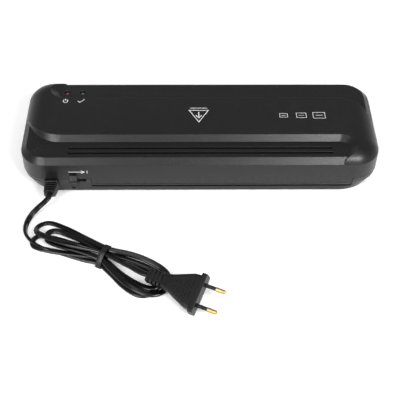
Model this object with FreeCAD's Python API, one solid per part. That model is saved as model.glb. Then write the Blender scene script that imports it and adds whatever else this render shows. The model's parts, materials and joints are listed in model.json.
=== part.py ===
"""A4 pouch laminator.

Frame: origin on the resting surface under the middle of the casing, +Z up, -Y is the side
the pouch is fed into, +Y is the side it leaves, and +X is the end that holds the drive.
All lengths are in millimetres.
"""
import FreeCAD, Part
import os
from math import atan, atan2, cos, degrees, hypot, pi, radians, sin, sqrt, tan
from FreeCAD import Placement, Rotation, Vector

# ---------------------------------------------------------------- casing: driving sizes
CASE_W = 335.0           # overall length along X
CASE_D = 115.0           # overall depth along Y
FOOT_H = 3.0             # the casing floor stands this high on its feet
PARTING_Z = 20.3         # the covers meet at this height
PARTING_GAP = 0.5        # shadow line between the covers
SHOULDER_Z = 38.0        # top of the upright walls
TERRACE_Z = 43.0         # the two stepped terraces
PLATEAU_Z = 48.0         # flat top
WALL = 2.2               # moulded wall
CORNER_R = 24.0          # plan corner of the upright walls
BASE_CORNER_R = 35.0     # plan corner at the floor
BASE_INSET = 1.2         # the floor is this much smaller all round
BASE_CHAMFER = 1.4       # bottom edge
DOME_RUN = 16.0          # the top rounds down over this distance
STRIP_RUN = 5.5          # sloped strip round the terraces
TONGUE_T = 1.1           # lining tongue of the lower cover, inside the joint
TONGUE_H = 1.6           # the tongue stands this high above the joint

# terraces: the far end of each is a rounded pocket, the near end runs out over the side
TERRACE_LIP_Y = 26.5     # top edge of the terrace wall, from the middle
POCKET_X = 147.0         # outermost point of the pocket's lip
POCKET_R = 15.5          # pocket radius at the lip
POCKET_LEAN = 1.6        # the end wall leans this much more than it is tall
RUNOUT_X = 131.0         # the wall starts to curve away here
RUNOUT_R = 32.0          # radius of that curve
RUNOUT_TURN = 70.0       # degrees turned before it leaves the casing

# ---------------------------------------------------------------- pouch path
THROAT_LEFT = 101.4      # +X end of the pouch path
THROAT_RIGHT = -142.0    # -X end of the pouch path
EXIT_LIP_Z = 9.5         # lower lip of the exit slot
EXIT_GAP = 3.1           # height of the exit slot
PATH_TILT = 11.0         # the path falls towards the exit, degrees
MOUTH_LOW = 30.4         # feed mouth, height of its lower edge
MOUTH_H = 5.2            # feed mouth, height
NIP_Y = -3.0             # the rollers meet here

# ---------------------------------------------------------------- rollers and drive
ROLLER_R = 8.0
NIP_GAP = 0.2            # modelled gap where the silicone would be squeezed
SHAFT_R = 3.0
SLEEVE_END_GAP = 3.0     # from the ends of the silicone to the frames
ROLLER_TEETH = 16
MODULE = 2 * ROLLER_R / ROLLER_TEETH   # gear module: the roller gears mesh on the rollers' centres
IDLER_TEETH = 18
MOTOR_TEETH = 12
GEAR_T = 5.5
GEAR_PLAY = 0.1          # extra distance between meshing centres
BACKLASH = 0.32          # thinning of each tooth at the pitch circle
RUN = 0.05               # radial clearance of running fits
FRAME_T = 1.5
FRAME_GAP = 2.6          # from the throat to the frames
LIFT = 1.5               # the release opens the rollers by this much
RELEASE_TRAVEL = 8.0     # stroke of the release knob
AIR = 0.3                # clearance between separate moving bodies
CAN_R = 17.0
CAN_L = 14.0
SHAFT_OFFSET = 9.3       # from the motor can's centre to its output shaft

# ---------------------------------------------------------------- supply cord
CORD_D = 5.2             # width of the flat two-core cord
CORD_Z = 2.7             # centre height where it lies on the table
BOOT_X = 139.4
BOOT_Z = 14.0
# centre line from the boot to the hank, chosen by hand
CORD_ROUTE = [
    (139.4, 71.5, 14.0),
    (139.4, 75.0, 14.0),
    (142.2, 79.6, 13.0),
    (149.6, 84.6, 7.9),
    (157.4, 91.6, 3.0),
    (161.4, 102.5, 2.7),
    (159.4, 114.0, 2.7),
    (150.8, 123.8, 2.7),
    (138.6, 128.6, 2.7),
    (126.0, 129.6, 2.7),
]
# outline of the tied hank, seen from above, chosen by hand
HANK_OUTLINE = [
    (153.0, 119.0), (150.0, 103.0), (139.0, 94.0), (118.0, 104.0), (86.0, 124.5),
    (61.0, 130.0), (41.0, 143.0), (31.0, 160.0), (34.5, 178.5), (46.0, 184.0),
    (66.0, 175.0), (88.0, 149.5), (112.0, 141.0), (141.0, 134.0),
]
HANK_TOP = 12.4
FLOOR_AIR = 0.25         # soft things are drawn this far above the table
TIE_X = 86.0
TIE_Y = 136.8
TIE_ANGLE = -25.0        # direction of the hank at the tie
TIE_W = 5.0
TIE_HALF = 11.5          # half of the band's width across the hank
TIE_T = 0.9
PLUG_AT = (1.2, 187.4, 13.5)   # outer face of the plug's flange
PLUG_HEADING = 154.3
PLUG_ROLL = 23.0
PIN_PITCH = 18.6
PIN_R = 2.0
PIN_L = 19.0
PIN_SLEEVE_L = 10.0

X_DIR = Vector(1, 0, 0)
Y_DIR = Vector(0, 1, 0)
Z_DIR = Vector(0, 0, 1)
ORIGIN = Vector(0, 0, 0)

# ---------------------------------------------------------------- places worked out once
HX = CASE_W / 2
HY = CASE_D / 2
FLOOR_Z = FOOT_H + WALL
PATH_SLOPE = tan(radians(PATH_TILT))
EXIT_MID_Z = EXIT_LIP_Z + EXIT_GAP / 2


def path_z(y):
    """Height of the pouch path above a place between the front and the rear wall."""
    return EXIT_MID_Z + (HY - y) * PATH_SLOPE


NIP_Z = path_z(NIP_Y)
ROLLER_OFFSET = ROLLER_R + NIP_GAP / 2
LOWER_Y = NIP_Y - ROLLER_OFFSET * sin(radians(PATH_TILT))
LOWER_Z = NIP_Z - ROLLER_OFFSET * cos(radians(PATH_TILT))
UPPER_Y = NIP_Y + ROLLER_OFFSET * sin(radians(PATH_TILT))
UPPER_Z = NIP_Z + ROLLER_OFFSET * cos(radians(PATH_TILT))
DRIVE_FRAME_X = THROAT_LEFT + FRAME_GAP        # inner face of the drive side frame
PLAIN_FRAME_X = THROAT_RIGHT - FRAME_GAP       # inner face of the other side frame
GEAR_X = DRIVE_FRAME_X + FRAME_T + 2.0         # inner face of the gear train
SHAFT_END_DRIVE = GEAR_X + GEAR_T + 1.0
SHAFT_END_PLAIN = PLAIN_FRAME_X - FRAME_T - 3.5
LINK_X = GEAR_X + GEAR_T + 1.2                 # release link plate
LINK_T = 1.5
MOTOR_X = LINK_X + LINK_T + 1.5                # mounting face of the motor
LOWER_TOP_Z = PARTING_Z - PARTING_GAP / 2
UPPER_LOW_Z = PARTING_Z + PARTING_GAP / 2
BOOT_END_Y = CORD_ROUTE[0][1]

parts = {}


def node(name, *solids):
    """Keep the solids of one named piece."""
    shape = solids[0] if len(solids) == 1 else Part.makeCompound(list(solids))
    parts[name] = shape
    return shape


def box(x0, x1, y0, y1, z0, z1):
    """Block between two corners, given in any order along each axis."""
    low = Vector(min(x0, x1), min(y0, y1), min(z0, z1))
    return Part.makeBox(abs(x1 - x0), abs(y1 - y0), abs(z1 - z0), low)


def rod(x0, x1, y, z, r):
    """Cylinder along X."""
    return Part.makeCylinder(r, abs(x1 - x0), Vector(min(x0, x1), y, z), X_DIR)


def post(x, y, z0, z1, r):
    """Cylinder along Z."""
    return Part.makeCylinder(r, z1 - z0, Vector(x, y, z0), Z_DIR)


def fuse(*shapes):
    """One clean solid from touching shapes."""
    return shapes[0].fuse(list(shapes[1:])).removeSplitter()


def polygon(points):
    return Part.makePolygon(list(points) + [points[0]])


def prism_x(points_yz, x0, x1):
    """Polygon in the YZ plane, extruded along X."""
    face = Part.Face(polygon([Vector(x0, y, z) for y, z in points_yz]))
    return face.extrude(Vector(x1 - x0, 0, 0))


def rounded_wire(hx, hy, r, z):
    """Rectangle with round corners, centred on the Z axis."""
    edges = []
    corners = [(hx - r, hy - r, 0), (-hx + r, hy - r, 90), (-hx + r, -hy + r, 180), (hx - r, -hy + r, 270)]
    for i, (cx, cy, start) in enumerate(corners):
        a, m, b = [radians(start + d) for d in (0, 45, 90)]
        ends = [Vector(cx + r * cos(t), cy + r * sin(t), z) for t in (a, m, b)]
        edges.append(Part.Arc(*ends).toShape())
        nx, ny, nstart = corners[(i + 1) % 4]
        t = radians(nstart)
        edges.append(Part.makeLine(ends[2], Vector(nx + r * cos(t), ny + r * sin(t), z)))
    return Part.Wire(edges)


def rounded_block(hx, hy, r, z0, z1):
    return Part.Face(rounded_wire(hx, hy, r, z0)).extrude(Vector(0, 0, z1 - z0))


def edge_profile(run, z_low, z_high, curved):
    """Top edge from the wall (inset 0) to the flat top (inset run): a round or a slope."""
    if not curved:
        return [(0.0, z_low), (run, z_high)]
    rise = z_high - z_low
    r = (run ** 2 + rise ** 2) / (2 * rise)
    mid = 0.5 * atan2(run, r - rise)
    return [(0.0, z_low), (run - r * sin(mid), z_high - r + r * cos(mid)), (run, z_high)]


def crowned_body(hx, hy, r, z0, profile):
    """Rounded-rectangle body whose top edge follows the profile all the way round."""
    run = profile[-1][0]
    top = profile[-1][1]

    def edge(place):
        pts = [place(inset, z) for inset, z in profile]
        return Part.Arc(*pts).toShape() if len(pts) == 3 else Part.makeLine(*pts)

    def section(half, place):
        right = edge(lambda inset, z: place(half - inset, z))
        left = edge(lambda inset, z: place(-half + inset, z))
        low, start = place(-half, z0), place(half, z0)
        lines = [
            Part.makeLine(low, start),
            Part.makeLine(start, place(half, profile[0][1])),
            Part.makeLine(place(half - run, top), place(-half + run, top)),
            Part.makeLine(place(-half, profile[0][1]), low),
        ]
        return Part.Face(Part.Wire(Part.__sortEdges__(lines + [right, left])))

    along_x = section(hy, lambda s, z: Vector(-hx + r, s, z)).extrude(Vector(2 * (hx - r), 0, 0))
    along_y = section(hx, lambda s, z: Vector(s, -hy + r, z)).extrude(Vector(0, 2 * (hy - r), 0))
    corners = []
    for sx, sy, start in ((1, 1, 0), (-1, 1, 90), (-1, -1, 180), (1, -1, 270)):
        centre = Vector(sx * (hx - r), sy * (hy - r), 0)
        place = lambda s, z: centre + Vector(s, 0, z)
        lines = [
            Part.makeLine(place(0, z0), place(r, z0)),
            Part.makeLine(place(r, z0), place(r, profile[0][1])),
            edge(lambda inset, z: place(r - inset, z)),
            Part.makeLine(place(r - run, top), place(0, top)),
            Part.makeLine(place(0, top), place(0, z0)),
        ]
        quarter = Part.Face(Part.Wire(Part.__sortEdges__(lines)))
        quarter.rotate(centre, Z_DIR, start)
        corners.append(quarter.revolve(centre, Z_DIR, 90))
    return fuse(along_x, along_y, *corners)


def terrace_cut(grow):
    """Space above a terrace of the exit side; grow widens it to leave a wall beneath."""
    slant = grow * sqrt(2)
    reach = HX + 40
    beyond = HY + 25

    def outline(z):
        drop = PLATEAU_Z - z
        wall_y = TERRACE_LIP_Y + drop - slant
        end_x = -POCKET_X + drop * POCKET_LEAN - slant
        r = POCKET_R - drop * (POCKET_LEAN + 1) / 2 + slant / 2
        mid_y = wall_y + r
        cx = end_x + r
        close_x = -POCKET_X + POCKET_R - 1.5 - grow
        rim_y = HY + 1.0
        turn = radians(RUNOUT_TURN)
        out_x = RUNOUT_X + RUNOUT_R * sin(turn)
        out_y = wall_y - RUNOUT_R * (1 - cos(turn))
        half = turn / 2
        far_y = out_y - (reach - out_x) * tan(turn)
        at = lambda x, y: Vector(x, y, z)
        corner = at(cx - r * cos(pi / 4), mid_y - r * sin(pi / 4))
        side = at(end_x + (close_x - end_x) * 0.29, mid_y + (rim_y - mid_y) * 0.71)
        bend = at(RUNOUT_X + RUNOUT_R * sin(half), wall_y - RUNOUT_R * (1 - cos(half)))
        edges = [
            Part.Arc(at(cx, wall_y), corner, at(end_x, mid_y)).toShape(),
            Part.Arc(at(end_x, mid_y), side, at(close_x, rim_y)).toShape(),
            Part.makeLine(at(close_x, rim_y), at(close_x, beyond)),
            Part.makeLine(at(close_x, beyond), at(reach, beyond)),
            Part.makeLine(at(reach, beyond), at(reach, far_y)),
            Part.makeLine(at(reach, far_y), at(out_x, out_y)),
            Part.Arc(at(out_x, out_y), bend, at(RUNOUT_X, wall_y)).toShape(),
            Part.makeLine(at(RUNOUT_X, wall_y), at(cx, wall_y)),
        ]
        return Part.Wire(edges)

    return Part.makeLoft([outline(SHOULDER_Z - 1.0 - grow), outline(PLATEAU_Z + 3.0)], True, True)


def upper_form(inset, bottom):
    """Outside of the upper cover moved in by a wall thickness; the terraces are in it."""
    hx, hy, r = HX - inset, HY - inset, CORNER_R - inset
    dome = edge_profile(DOME_RUN, SHOULDER_Z - inset * 0.5, PLATEAU_Z - inset, True)
    step = edge_profile(STRIP_RUN, SHOULDER_Z - inset * 0.5, TERRACE_Z - inset, False)
    rear = terrace_cut(inset)
    front = rear.copy()
    front.rotate(ORIGIN, Z_DIR, 180)
    body = crowned_body(hx, hy, r, bottom, dome).cut(rear).cut(front)
    return body.fuse(crowned_body(hx, hy, r, bottom, step)).removeSplitter()


# ================================================================= covers
# The skirt of the upper cover reaches down to the exit slot between these two steps.
SKIRT_LEFT = THROAT_LEFT + 0.4
SKIRT_RIGHT = THROAT_RIGHT - 0.5
SKIRT_Z = EXIT_LIP_Z + EXIT_GAP
SIDE_GAP = 0.3                 # shadow gap beside the skirt
BOSS_R = 4.0
BOSS_JOINT_Z = PARTING_Z + 0.7
SCREW_R = 1.5
SCREW_HEAD_R = 2.7
SCREW_HEAD_H = 2.0
SCREW_SEAT_Z = 12.0
SCREW_BITE = 9.0
BOSSES = [(sx * (HX - 13.5), sy * (HY - 21.0)) for sx in (-1, 1) for sy in (-1, 1)]
FEET = [(sx * (HX - 32.0), sy * (HY - 18.0)) for sx in (-1, 1) for sy in (-1, 1)]
FOOT_R = 7.0
FOOT_RECESS = 0.8
RELEASE_MID_X = 118.4          # middle of the release knob at rest
KNOB_W = 6.6
NOTCH_Z = 16.7                 # lower edge of the knob's slot
NOTCH_LEFT = RELEASE_MID_X + KNOB_W / 2 + 0.2
NOTCH_RIGHT = RELEASE_MID_X - KNOB_W / 2 - RELEASE_TRAVEL - 0.5
BOOT_NECK = 5.0                # half width of the boot where it passes the wall
VENT_HALF = 122.8              # half length of a vent slot
VENT_W = 2.3
VENT_YS = (39.8, 46.2)
LED_HOLE_R = 2.7
LED_XS = {"power_led": 130.6, "ready_led": 115.5}
LED_Y = -40.6
LED_TOP_Z = TERRACE_Z - 1.2
BOARD_Z = 33.4
BOARD_T = 1.6
BOARD_POSTS = [(108.8, -36.0), (123.0, -35.0)]
BOARD_SCREW_R = 1.0
FLOOR_VENTS = 18
FLOOR_VENT_PITCH = 11.0


def make_top_cover():
    """Upper shell: dome, terraces, skirt, vents, lamp holes, feed mouth and screw bosses."""
    shell = upper_form(0.0, UPPER_LOW_Z).cut(upper_form(WALL, UPPER_LOW_Z - 1.0))
    skirt = box(SKIRT_RIGHT, SKIRT_LEFT, HY - WALL, HY, SKIRT_Z, UPPER_LOW_Z + 1.0)
    bead = box(SKIRT_RIGHT, SKIRT_LEFT, HY - WALL, HY + 0.4, SKIRT_Z, SKIRT_Z + 1.2)
    pillars = [post(x, y, BOSS_JOINT_Z, PLATEAU_Z, BOSS_R) for x, y in BOSSES]
    pillars += [post(x, y, BOARD_Z + BOARD_T, PLATEAU_Z, BOARD_SCREW_R + 1.5) for x, y in BOARD_POSTS]
    inside = upper_form(WALL / 2, UPPER_LOW_Z - 1.0)
    cover = fuse(shell, skirt, bead, *[pillar.common(inside) for pillar in pillars])
    cuts = [box(THROAT_RIGHT, THROAT_LEFT, -HY - 1, -HY + WALL + 1, MOUTH_LOW, MOUTH_LOW + MOUTH_H)]
    for y in VENT_YS:
        low, high = y - VENT_W / 2, y + VENT_W / 2
        cuts.append(box(-VENT_HALF, VENT_HALF, low, high, TERRACE_Z - WALL - 1, TERRACE_Z + 1))
    for x in LED_XS.values():
        cuts.append(post(x, LED_Y, TERRACE_Z - WALL - 1, TERRACE_Z + 1, LED_HOLE_R))
        cuts.append(Part.makeCone(LED_HOLE_R, LED_HOLE_R + 0.8, 0.8, Vector(x, LED_Y, TERRACE_Z - 0.5)))
    for x, y in BOSSES:
        cuts.append(post(x, y, BOSS_JOINT_Z - 1, BOSS_JOINT_Z + SCREW_BITE + 1, SCREW_R))
    for x, y in BOARD_POSTS:
        cuts.append(post(x, y, BOARD_Z, BOARD_Z + BOARD_T + 4.0, BOARD_SCREW_R))
    return cover.cut(Part.makeCompound(cuts))


def make_bottom_cover():
    """Lower tray: tapered walls, tongue, exit lip, floor vents, feet recesses and bosses."""
    base_hx, base_hy = HX - BASE_INSET, HY - BASE_INSET
    outside = Part.makeLoft([
        rounded_wire(base_hx - BASE_CHAMFER, base_hy - BASE_CHAMFER, BASE_CORNER_R - BASE_CHAMFER, FOOT_H),
        rounded_wire(base_hx, base_hy, BASE_CORNER_R, FOOT_H + BASE_CHAMFER),
        rounded_wire(HX, HY, CORNER_R, LOWER_TOP_Z),
    ], True, True)
    hollow = Part.makeLoft([
        rounded_wire(base_hx - WALL, base_hy - WALL, BASE_CORNER_R - WALL, FLOOR_Z),
        rounded_wire(HX - WALL, HY - WALL, CORNER_R - WALL, LOWER_TOP_Z + 0.01),
    ], True, True)
    seat, inner = WALL + 0.15, WALL + 0.15 + TONGUE_T
    ring_out = rounded_block(HX - seat, HY - seat, CORNER_R - seat, LOWER_TOP_Z - 5, PARTING_Z + TONGUE_H)
    ring_in = rounded_block(HX - inner, HY - inner, CORNER_R - inner, FOOT_H, PARTING_Z + TONGUE_H + 1)
    shelf = rounded_block(HX - 1, HY - 1, CORNER_R - 1, LOWER_TOP_Z - 5, LOWER_TOP_Z)
    tongue = ring_out.fuse(shelf).cut(ring_in)
    tray = fuse(outside.cut(hollow), tongue)
    above = PARTING_Z + TONGUE_H + 1
    back = HY - WALL - 4
    cuts = [
        box(SKIRT_RIGHT - SIDE_GAP, SKIRT_LEFT + SIDE_GAP, back, HY + 1, EXIT_LIP_Z, above),
        box(NOTCH_RIGHT, NOTCH_LEFT, back, HY + 1, NOTCH_Z, above),
        box(SKIRT_LEFT, BOOT_X + 8, back, HY + 1, LOWER_TOP_Z, above),
        box(BOOT_X - BOOT_NECK, BOOT_X + BOOT_NECK, back, HY + 1, BOOT_Z - BOOT_NECK, above),
    ]
    first = -(FLOOR_VENTS - 1) / 2 * FLOOR_VENT_PITCH - 21
    for i in range(FLOOR_VENTS):
        x = first + i * FLOOR_VENT_PITCH
        cuts.append(box(x - 1.5, x + 1.5, -44, -24, FOOT_H - 1, FLOOR_Z + 1))
    added = [post(x, y, FLOOR_Z - 0.5, BOSS_JOINT_Z, BOSS_R) for x, y in BOSSES]
    for x, y in BOSSES:
        cuts.append(post(x, y, FOOT_H, BOSS_JOINT_Z + 1, SCREW_R + 0.2))
        cuts.append(post(x, y, FOOT_H - 1, SCREW_SEAT_Z, SCREW_HEAD_R + 0.4))
    for x, y in FEET:
        cuts.append(post(x, y, FOOT_H - 1, FOOT_H + FOOT_RECESS, FOOT_R))
    for x, y in FRAME_BOSSES:
        added.append(post(x, y, FLOOR_Z - 0.5, FRAME_Z, 3.2))
        cuts.append(post(x, y, FLOOR_Z + 0.3, FRAME_Z + 1, SMALL_SCREW_R))
    saddle_x = (BOOT_X - CLAMP_HALF, BOOT_X + CLAMP_HALF)
    added.append(box(*saddle_x, CLAMP_Y0, CLAMP_Y1, FLOOR_Z - 0.5, BOOT_Z - CORD_D / 2))
    for x in CLAMP_SCREW_XS:
        added.append(box(x - 2, x + 2, CLAMP_Y0, CLAMP_Y1, FLOOR_Z, BOOT_Z + CORD_D / 2))
        cuts.append(post(x, CLAMP_MID_Y, CLAMP_PILOT_Z, BOOT_Z + CORD_D, SMALL_SCREW_R))
    return fuse(tray, *added).cut(Part.makeCompound(cuts))


def cross_screw(x, y, seat, direction, shank_r, shank_l, head_r, head_h):
    """Screw with a round cross-slot head; direction is +1 when it is driven upwards."""
    head = post(x, y, 0, head_h, head_r)
    slots = [box(x - head_r * 0.6, x + head_r * 0.6, y - 0.35, y + 0.35, -1, head_h * 0.5),
             box(x - 0.35, x + 0.35, y - head_r * 0.6, y + head_r * 0.6, -1, head_h * 0.5)]
    screw = fuse(head.cut(Part.makeCompound(slots)), post(x, y, head_h, head_h + shank_l, shank_r))
    if direction < 0:
        screw.rotate(Vector(x, y, 0), X_DIR, 180)
        screw.translate(Vector(0, 0, seat + head_h))
    else:
        screw.translate(Vector(0, 0, seat - head_h))
    return screw


SMALL_SCREW_R = 1.25
SMALL_HEAD_R = 2.3
SMALL_HEAD_H = 1.6
FRAME_Z = 8.0                  # underside of the side frames
FLANGE_X = 5.0                 # screw line from the plate of a frame
FLANGE_W = 9.0                 # width of the frame's bent feet
FRAME_YS = {1: (-38.0, 40.0), -1: (-24.0, 24.0)}
FRAME_BOSSES = [(DRIVE_FRAME_X + FRAME_T + FLANGE_X, y) for y in FRAME_YS[1]]
FRAME_BOSSES += [(PLAIN_FRAME_X - FRAME_T - FLANGE_X, y) for y in FRAME_YS[-1]]
CLAMP_HALF = 7.2
CLAMP_Y0, CLAMP_Y1 = 41.0, 47.0
CLAMP_MID_Y = (CLAMP_Y0 + CLAMP_Y1) / 2
CLAMP_SCREW_XS = (BOOT_X - 5.1, BOOT_X + 5.1)
CLAMP_PILOT_Z = 7.0
CLAMP_T = 2.5

node("top_cover", make_top_cover())
node("bottom_cover", make_bottom_cover())
node("rubber_feet", *[fuse(Part.makeCone(FOOT_R - 0.8, FOOT_R, 0.8, Vector(x, y, 0)),
                           post(x, y, 0.8, FOOT_H + FOOT_RECESS, FOOT_R)) for x, y in FEET])
case_screw_l = BOSS_JOINT_Z + SCREW_BITE - SCREW_SEAT_Z
node("case_screws", *[cross_screw(x, y, SCREW_SEAT_Z, 1, SCREW_R, case_screw_l, SCREW_HEAD_R, SCREW_HEAD_H)
                      for x, y in BOSSES])

# ================================================================= gears
SHAFT_ANGLE = 90 - PATH_TILT          # from the lower to the upper roller axis, in the YZ plane
PITCH_R = {teeth: MODULE * teeth / 2 for teeth in (ROLLER_TEETH, IDLER_TEETH, MOTOR_TEETH)}
IDLER_RISE = 1.2                      # the idler sits a little above the lower roller
idler_reach = PITCH_R[ROLLER_TEETH] + PITCH_R[IDLER_TEETH] + GEAR_PLAY
IDLER_Y = LOWER_Y + sqrt(idler_reach ** 2 - IDLER_RISE ** 2)
IDLER_Z = LOWER_Z + IDLER_RISE
motor_reach = PITCH_R[IDLER_TEETH] + PITCH_R[MOTOR_TEETH] + GEAR_PLAY
MOTOR_Y = IDLER_Y + motor_reach
MOTOR_Z = IDLER_Z
CAN_Z = MOTOR_Z + 7.0
CAN_Y = MOTOR_Y + sqrt(SHAFT_OFFSET ** 2 - (CAN_Z - MOTOR_Z) ** 2)
EAR_REACH = 20.5
EAR_ANGLE = -42.0
EARS = [(CAN_Y + s * EAR_REACH * cos(radians(EAR_ANGLE)), CAN_Z + s * EAR_REACH * sin(radians(EAR_ANGLE)))
        for s in (-1, 1)]
STANDOFF_R = 2.5


def spur_gear(teeth, y, z, first_tooth, bore_r):
    """Involute gear about an axis along X; first_tooth is the angle of one tooth's middle."""
    pitch_r = MODULE * teeth / 2
    base_r = pitch_r * cos(radians(20))
    root_r = pitch_r - 1.25 * MODULE
    tip_r = pitch_r + MODULE
    involute = lambda r: sqrt(max((r / base_r) ** 2 - 1, 0)) - atan(sqrt(max((r / base_r) ** 2 - 1, 0)))
    half_pitch = pi / (2 * teeth) - BACKLASH / (4 * pitch_r) + involute(pitch_r)
    start_r = max(base_r, root_r)
    steps = 4
    radii = [start_r + (tip_r - start_r) * i / steps for i in range(steps + 1)]

    def at(r, angle):
        return Vector(GEAR_X, y + r * cos(angle), z + r * sin(angle))

    edges = []
    for k in range(teeth):
        mid = radians(first_tooth) + 2 * pi * k / teeth
        rise = [at(r, mid - half_pitch + involute(r)) for r in radii]
        fall = [at(r, mid + half_pitch - involute(r)) for r in reversed(radii)]
        flank = Part.BSplineCurve()
        flank.interpolate(rise)
        back = Part.BSplineCurve()
        back.interpolate(fall)
        foot_in = at(root_r, mid - half_pitch)
        foot_out = at(root_r, mid + half_pitch)
        next_mid = mid + 2 * pi / teeth
        next_foot = at(root_r, next_mid - half_pitch)
        valley = at(root_r, mid + pi / teeth)
        if start_r > root_r + 1e-6:
            edges.append(Part.makeLine(foot_in, rise[0]))
        edges.append(flank.toShape())
        edges.append(Part.Arc(rise[-1], at(tip_r, mid), fall[0]).toShape())
        edges.append(back.toShape())
        if start_r > root_r + 1e-6:
            edges.append(Part.makeLine(fall[-1], foot_out))
        edges.append(Part.Arc(foot_out, valley, next_foot).toShape())
    gear = Part.Face(Part.Wire(edges)).extrude(Vector(GEAR_T, 0, 0))
    return gear.cut(rod(GEAR_X - 1, GEAR_X + GEAR_T + 1, y, z, bore_r))


def meshing_tooth(teeth_a, tooth_a, teeth_b, direction):
    """Angle of a tooth of gear b that meshes with gear a, which lies opposite to direction."""
    phase = (teeth_a * (direction - tooth_a) / 360.0) % 1.0
    return direction + 180 - 360.0 / teeth_b * (0.5 - phase)


lower_tooth = SHAFT_ANGLE
upper_tooth = meshing_tooth(ROLLER_TEETH, lower_tooth, ROLLER_TEETH, SHAFT_ANGLE)
idler_direction = degrees(atan2(IDLER_Z - LOWER_Z, IDLER_Y - LOWER_Y))
idler_tooth = meshing_tooth(ROLLER_TEETH, lower_tooth, IDLER_TEETH, idler_direction)
motor_tooth = meshing_tooth(IDLER_TEETH, idler_tooth, MOTOR_TEETH, 0.0)
STUD_R = 2.0
MOTOR_SHAFT_R = 2.5

node("lower_roller_gear", spur_gear(ROLLER_TEETH, LOWER_Y, LOWER_Z, lower_tooth, SHAFT_R))
node("upper_roller_gear", spur_gear(ROLLER_TEETH, UPPER_Y, UPPER_Z, upper_tooth, SHAFT_R))
node("idler_gear", spur_gear(IDLER_TEETH, IDLER_Y, IDLER_Z, idler_tooth, STUD_R + RUN))
node("motor_gear", spur_gear(MOTOR_TEETH, MOTOR_Y, MOTOR_Z, motor_tooth, MOTOR_SHAFT_R))
node("idler_stud", fuse(rod(DRIVE_FRAME_X, GEAR_X + GEAR_T + 0.3, IDLER_Y, IDLER_Z, STUD_R),
                        rod(GEAR_X - 1.9, GEAR_X - 0.3, IDLER_Y, IDLER_Z, STUD_R + 1.2),
                        rod(GEAR_X + GEAR_T + 0.3, GEAR_X + GEAR_T + 1.1, IDLER_Y, IDLER_Z, STUD_R + 1.2)))

# ================================================================= rollers and their bushes
BUSH_R = 5.0
FLANGE_R = 7.0
CARRIER = 6.0                  # half size of an upper bush's block
CARRIER_NECK = 4.0             # half size of its neck in the frame's slot
CARRIER_T = 3.8
CARRIER_GAP = 0.2
BAR_Y, BAR_T = 24.2, 1.5       # release bar
BAR_LOW_Z = 27.0
BAR_TOP_Z = 33.3
ARM_LOW_Z = BAR_TOP_Z + 0.5
FOOT_TOE_Z = BAR_TOP_Z + AIR   # underside of the arm's toe, over the bar
ARM_END_Y = BAR_Y + BAR_T + 2.0
TOE_W = 2.0
SPRING_R = 1.6
SPRING_WIRE_R = 0.35
TAB_Z = 42.7                   # underside of the frame's spring tab
TAB_T = 1.5


def roller(y, z):
    """Shaft and silicone sleeve of one roller."""
    shaft = rod(SHAFT_END_PLAIN, SHAFT_END_DRIVE, y, z, SHAFT_R)
    ends = (PLAIN_FRAME_X + SLEEVE_END_GAP + CARRIER_T, DRIVE_FRAME_X - SLEEVE_END_GAP - CARRIER_T)
    sleeve = rod(ends[0], ends[1], y, z, ROLLER_R).cut(rod(ends[0] - 1, ends[1] + 1, y, z, SHAFT_R))
    return shaft, sleeve


def lower_bush(side, frame_x):
    """Flanged round bush pressed through a side frame; side is +1 at the drive end."""
    flange = rod(frame_x - side * 2.2, frame_x, LOWER_Y, LOWER_Z, FLANGE_R)
    neck = rod(frame_x, frame_x + side * (FRAME_T + 1.0), LOWER_Y, LOWER_Z, BUSH_R)
    hole = rod(frame_x - side * 5, frame_x + side * 5, LOWER_Y, LOWER_Z, SHAFT_R + RUN)
    return fuse(flange, neck).cut(hole)


def upper_bush(side, frame_x):
    """Sliding block in a slot of the frame, with an arm that the release bar lifts."""
    near = frame_x - side * CARRIER_GAP
    far = near - side * CARRIER_T
    block = box(far, near, UPPER_Y - CARRIER, UPPER_Y + CARRIER, UPPER_Z - CARRIER, UPPER_Z + CARRIER)
    neck = box(near, frame_x + side * (FRAME_T + 0.8), UPPER_Y - CARRIER_NECK, UPPER_Y + CARRIER_NECK,
               UPPER_Z - CARRIER_NECK, UPPER_Z + CARRIER_NECK)
    arm = box(far, near, UPPER_Y + CARRIER - 1, ARM_END_Y, ARM_LOW_Z, UPPER_Z + CARRIER)
    toe = box(TOE_RIGHT[side], TOE_RIGHT[side] + TOE_W, BAR_Y - 1, ARM_END_Y, FOOT_TOE_Z, ARM_LOW_Z + 0.5)
    hole = rod(far - side * 5, frame_x + side * 10, UPPER_Y, UPPER_Z, SHAFT_R + RUN)
    return fuse(block, neck, arm, toe).cut(hole)


TOE_RIGHT = {1: DRIVE_FRAME_X - CARRIER_GAP - CARRIER_T, -1: PLAIN_FRAME_X + CARRIER_GAP}
SIDES = {"drive": (1, DRIVE_FRAME_X), "plain": (-1, PLAIN_FRAME_X)}


def spring(side, frame_x):
    """Compression spring between the sliding block and the frame's tab."""
    low = UPPER_Z + CARRIER + SPRING_WIRE_R + 0.03
    height = TAB_Z - SPRING_WIRE_R - 0.03 - low
    x = frame_x - side * (CARRIER_GAP + CARRIER_T / 2)
    helix = Part.makeHelix(height / 4, height, SPRING_R)
    ring = Part.Wire(Part.makeCircle(SPRING_WIRE_R, Vector(SPRING_R, 0, 0), Y_DIR))
    coil = Part.Wire(helix.Edges).makePipeShell([ring], True, True)
    coil.translate(Vector(x, UPPER_Y, low))
    return coil


lower_shaft, lower_sleeve = roller(LOWER_Y, LOWER_Z)
upper_shaft, upper_sleeve = roller(UPPER_Y, UPPER_Z)
node("lower_roller_shaft", lower_shaft)
node("lower_roller_sleeve", lower_sleeve)
node("upper_roller_shaft", upper_shaft)
node("upper_roller_sleeve", upper_sleeve)
for end, (side, frame_x) in SIDES.items():
    node("lower_bush_" + end, lower_bush(side, frame_x))
    node("upper_bush_" + end, upper_bush(side, frame_x))
    node("pressure_spring_" + end, spring(side, frame_x))

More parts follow.
